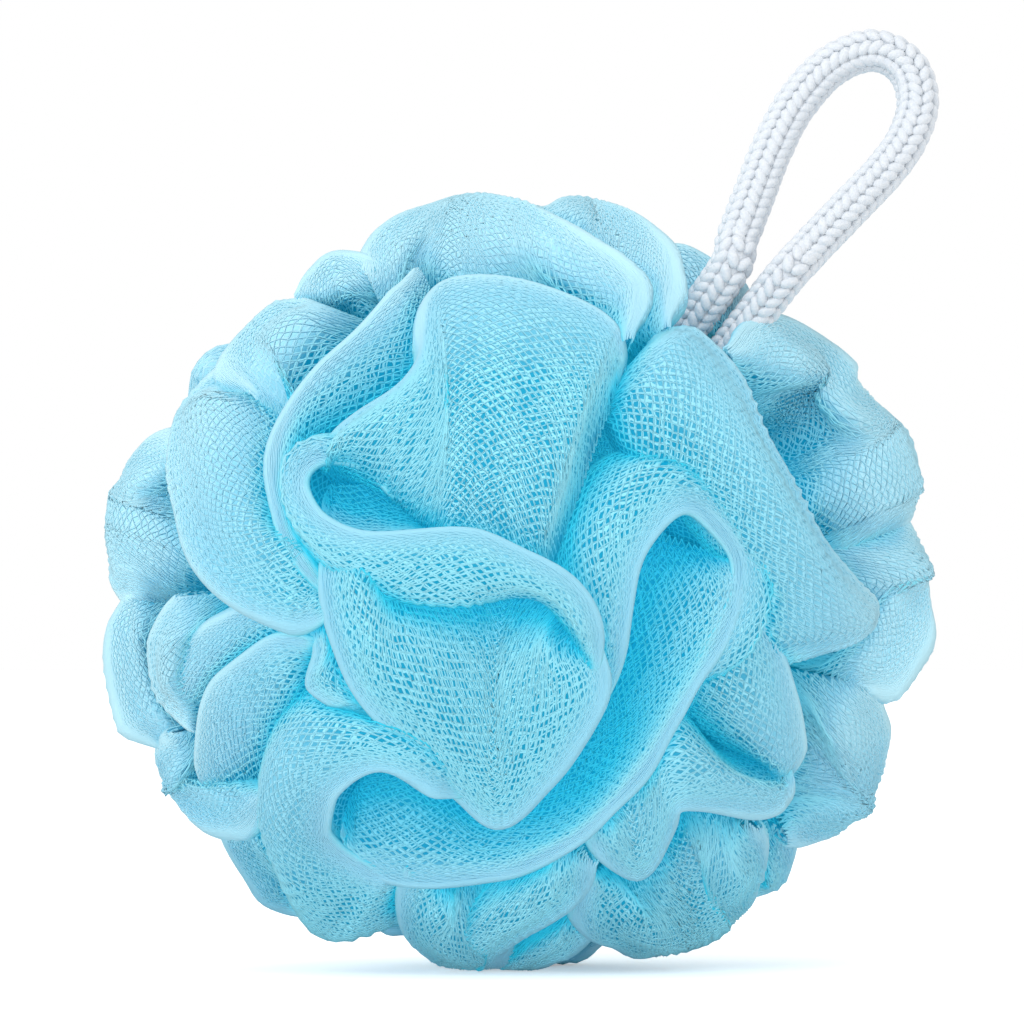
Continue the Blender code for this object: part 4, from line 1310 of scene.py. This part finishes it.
def build_core():
    """The dense gathers that the folds grow from."""
    look = bpy.context.scene.netting_look
    bpy.ops.object.select_all(action="DESELECT")
    bpy.ops.mesh.primitive_ico_sphere_add(subdivisions=6, radius=1.0)
    core = bpy.context.active_object
    core.name = "gathered_core"
    size = HALF_SIZE * (1 - CORE_BELOW_SURFACE / HALF_SIZE[1])
    core.data.transform(Matrix.Translation(Vector(MIDDLE)) @ Matrix.Diagonal((*size, 1.0)))
    count = len(core.data.vertices)
    spots = np.empty(3 * count)
    core.data.vertices.foreach_get("co", spots)
    spots = spots.reshape(-1, 3) - MIDDLE
    turn = np.arctan2(spots[:, 0], -spots[:, 1]) * np.linalg.norm(spots[:, :2], axis=1)
    # Painted shade: the whole core takes the deepest tone, the darkest colours of the hollows
    set_attribute(core, "tone", np.ones(count))
    set_attribute(core, "net_place", np.stack([turn, spots[:, 2], 0 * turn], axis=1) / MILLIMETRE)
    core.data.shade_smooth()
    dress(core, "netting", cached_material("net_below", lining_material, look))


def build_hidden_rope():
    """The knot and the tying thread inside the ball keep their CAD solids and get fibres."""
    for node, colour in HIDDEN_COLOURS.items():
        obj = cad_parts[node]
        material = fibre_material(node + "_fibre", colour)
        if obj.material_slots:
            obj.material_slots[0].material = material
        else:
            obj.data.materials.append(material)


def build_stage():
    """The pale floor, the even light with its soft lamp, and the camera."""
    look = bpy.context.scene.stage_look
    bpy.ops.object.select_all(action="DESELECT")
    bpy.ops.mesh.primitive_plane_add(size=FLOOR_SIZE)
    floor = bpy.context.active_object
    floor.name = "floor"
    material, shader, nodes, links = new_material("floor")
    set_inputs(shader, {
        "Base Color": (*look.floor_colour, 1.0), "Roughness": 0.9, "Emission Color": (1, 1, 1, 1),
    })
    path = nodes.new("ShaderNodeLightPath")
    lift = math_node(nodes, links, "MULTIPLY", path.outputs["Is Camera Ray"], FLOOR_LIFT)
    links.new(lift, shader.inputs["Emission Strength"])
    floor.data.materials.append(material)

    world = bpy.data.worlds.new("studio")
    bpy.context.scene.world = world
    world.use_nodes = True
    nodes, links = world.node_tree.nodes, world.node_tree.links
    path = nodes.new("ShaderNodeLightPath")
    seen = math_node(nodes, links, "MAXIMUM", path.outputs["Is Camera Ray"], path.outputs["Is Glossy Ray"])
    seen = math_node(nodes, links, "MAXIMUM", seen, path.outputs["Is Transmission Ray"])
    more = math_node(nodes, links, "MULTIPLY", seen, 1.0 - look.world_strength)
    strength = math_node(nodes, links, "ADD", more, look.world_strength)
    links.new(strength, nodes["Background"].inputs["Strength"])
    nodes["Background"].inputs["Color"].default_value = (1, 1, 1, 1)

    lamp = bpy.data.lights.new("key", "AREA")
    lamp.energy = look.key_power
    lamp.size = KEY_SIZE
    key = bpy.data.objects.new("key", lamp)
    bpy.context.collection.objects.link(key)
    key.location = KEY_PLACE
    key.rotation_euler = (Vector(MIDDLE) - key.location).to_track_quat("-Z", "Y").to_euler()

    camera_data = bpy.data.cameras.new("camera")
    camera = bpy.data.objects.new("camera", camera_data)
    bpy.context.collection.objects.link(camera)
    half = PICTURE_SIZE / 2
    camera.location = (
        (half - PICTURE_MIDDLE[0]) * METRES_PER_POINT,
        -look.camera_distance,
        MIDDLE[2] + (PICTURE_MIDDLE[1] - half) * METRES_PER_POINT,
    )
    camera.rotation_euler = (math.pi / 2, 0, 0)
    camera_data.sensor_width = SENSOR_WIDTH
    camera_data.lens = SENSOR_WIDTH * look.camera_distance / (PICTURE_SIZE * METRES_PER_POINT)
    bpy.context.scene.camera = camera
    bpy.context.scene.view_settings.view_transform = "Standard"


class SPONGE_OT_stage(bpy.types.Operator):
    """The pale floor, the soft light and the camera"""

    bl_idname = "sponge.stage"
    bl_label = "Stage"

    def execute(self, context):
        build_stage()
        return {"FINISHED"}


class SPONGE_OT_linings(bpy.types.Operator):
    """The lower layers of netting under all folds, and the gathers in the middle"""

    bl_idname = "sponge.linings"
    bl_label = "Linings"

    def execute(self, context):
        look = context.scene.netting_look
        Laid.hollows = None
        for group in GROUPS:
            folds, placing, _ = folds_of(group)
            Laid.beds[group] = [Bed(fold, placing, look.lining_gap) for fold in folds]
            lining = make_lining(group + "_lining", Laid.beds[group])
            dress(lining, "netting", cached_material("net_below", lining_material, look))
        build_core()
        return {"FINISHED"}


class SPONGE_OT_front_netting(bpy.types.Operator):
    """The strands of the folds at the front, group by group"""

    bl_idname = "sponge.front_netting"
    bl_label = "Front netting"

    def execute(self, context):
        for group in FRONT_GROUPS:
            lay_group(group)
        return {"FINISHED"}


class SPONGE_OT_back_netting(bpy.types.Operator):
    """The strands of the folds round the back, group by group"""

    bl_idname = "sponge.back_netting"
    bl_label = "Back netting"

    def execute(self, context):
        for group in BACK_GROUPS:
            lay_group(group)
        return {"FINISHED"}


class SPONGE_OT_loop(bpy.types.Operator):
    """The braided hanging loop, stitch by stitch"""

    bl_idname = "sponge.loop"
    bl_label = "Braided loop"

    def execute(self, context):
        build_rope()
        return {"FINISHED"}


class SPONGE_OT_hidden_rope(bpy.types.Operator):
    """The fibres of the knot and the tying thread inside"""

    bl_idname = "sponge.hidden_rope"
    bl_label = "Knot and thread"

    def execute(self, context):
        build_hidden_rope()
        return {"FINISHED"}


class SPONGE_PT_panel(bpy.types.Panel):
    """The sponge's sizes, colours and steps"""

    bl_idname = "SPONGE_PT_panel"
    bl_label = "Bath Sponge"
    bl_space_type = "VIEW_3D"
    bl_region_type = "UI"
    bl_category = "Sponge"

    def draw(self, context):
        for look in (context.scene.netting_look, context.scene.rope_look, context.scene.stage_look):
            box = self.layout.box()
            for name in look.__annotations__:
                box.prop(look, name)
        for operator in OPERATORS:
            self.layout.operator(operator.bl_idname)


LOOKS = (NettingLook, RopeLook, StageLook)
OPERATORS = (
    SPONGE_OT_stage,
    SPONGE_OT_linings,
    SPONGE_OT_front_netting,
    SPONGE_OT_back_netting,
    SPONGE_OT_loop,
    SPONGE_OT_hidden_rope,
)


def register():
    """Makes the looks, the operators and the panel known to Blender."""
    for group in LOOKS + OPERATORS + (SPONGE_PT_panel,):
        bpy.utils.register_class(group)
    bpy.types.Scene.netting_look = PointerProperty(type=NettingLook)
    bpy.types.Scene.rope_look = PointerProperty(type=RopeLook)
    bpy.types.Scene.stage_look = PointerProperty(type=StageLook)


def unregister():
    """Takes them all out again, the last one first."""
    del bpy.types.Scene.stage_look
    del bpy.types.Scene.rope_look
    del bpy.types.Scene.netting_look
    for group in reversed(LOOKS + OPERATORS + (SPONGE_PT_panel,)):
        bpy.utils.unregister_class(group)


def main():
    """Builds the stage and the sponge."""
    register()
    bpy.ops.sponge.stage()
    bpy.ops.sponge.linings()
    bpy.ops.sponge.front_netting()
    bpy.ops.sponge.back_netting()
    bpy.ops.sponge.loop()
    bpy.ops.sponge.hidden_rope()


if __name__ == "__main__":
    main()
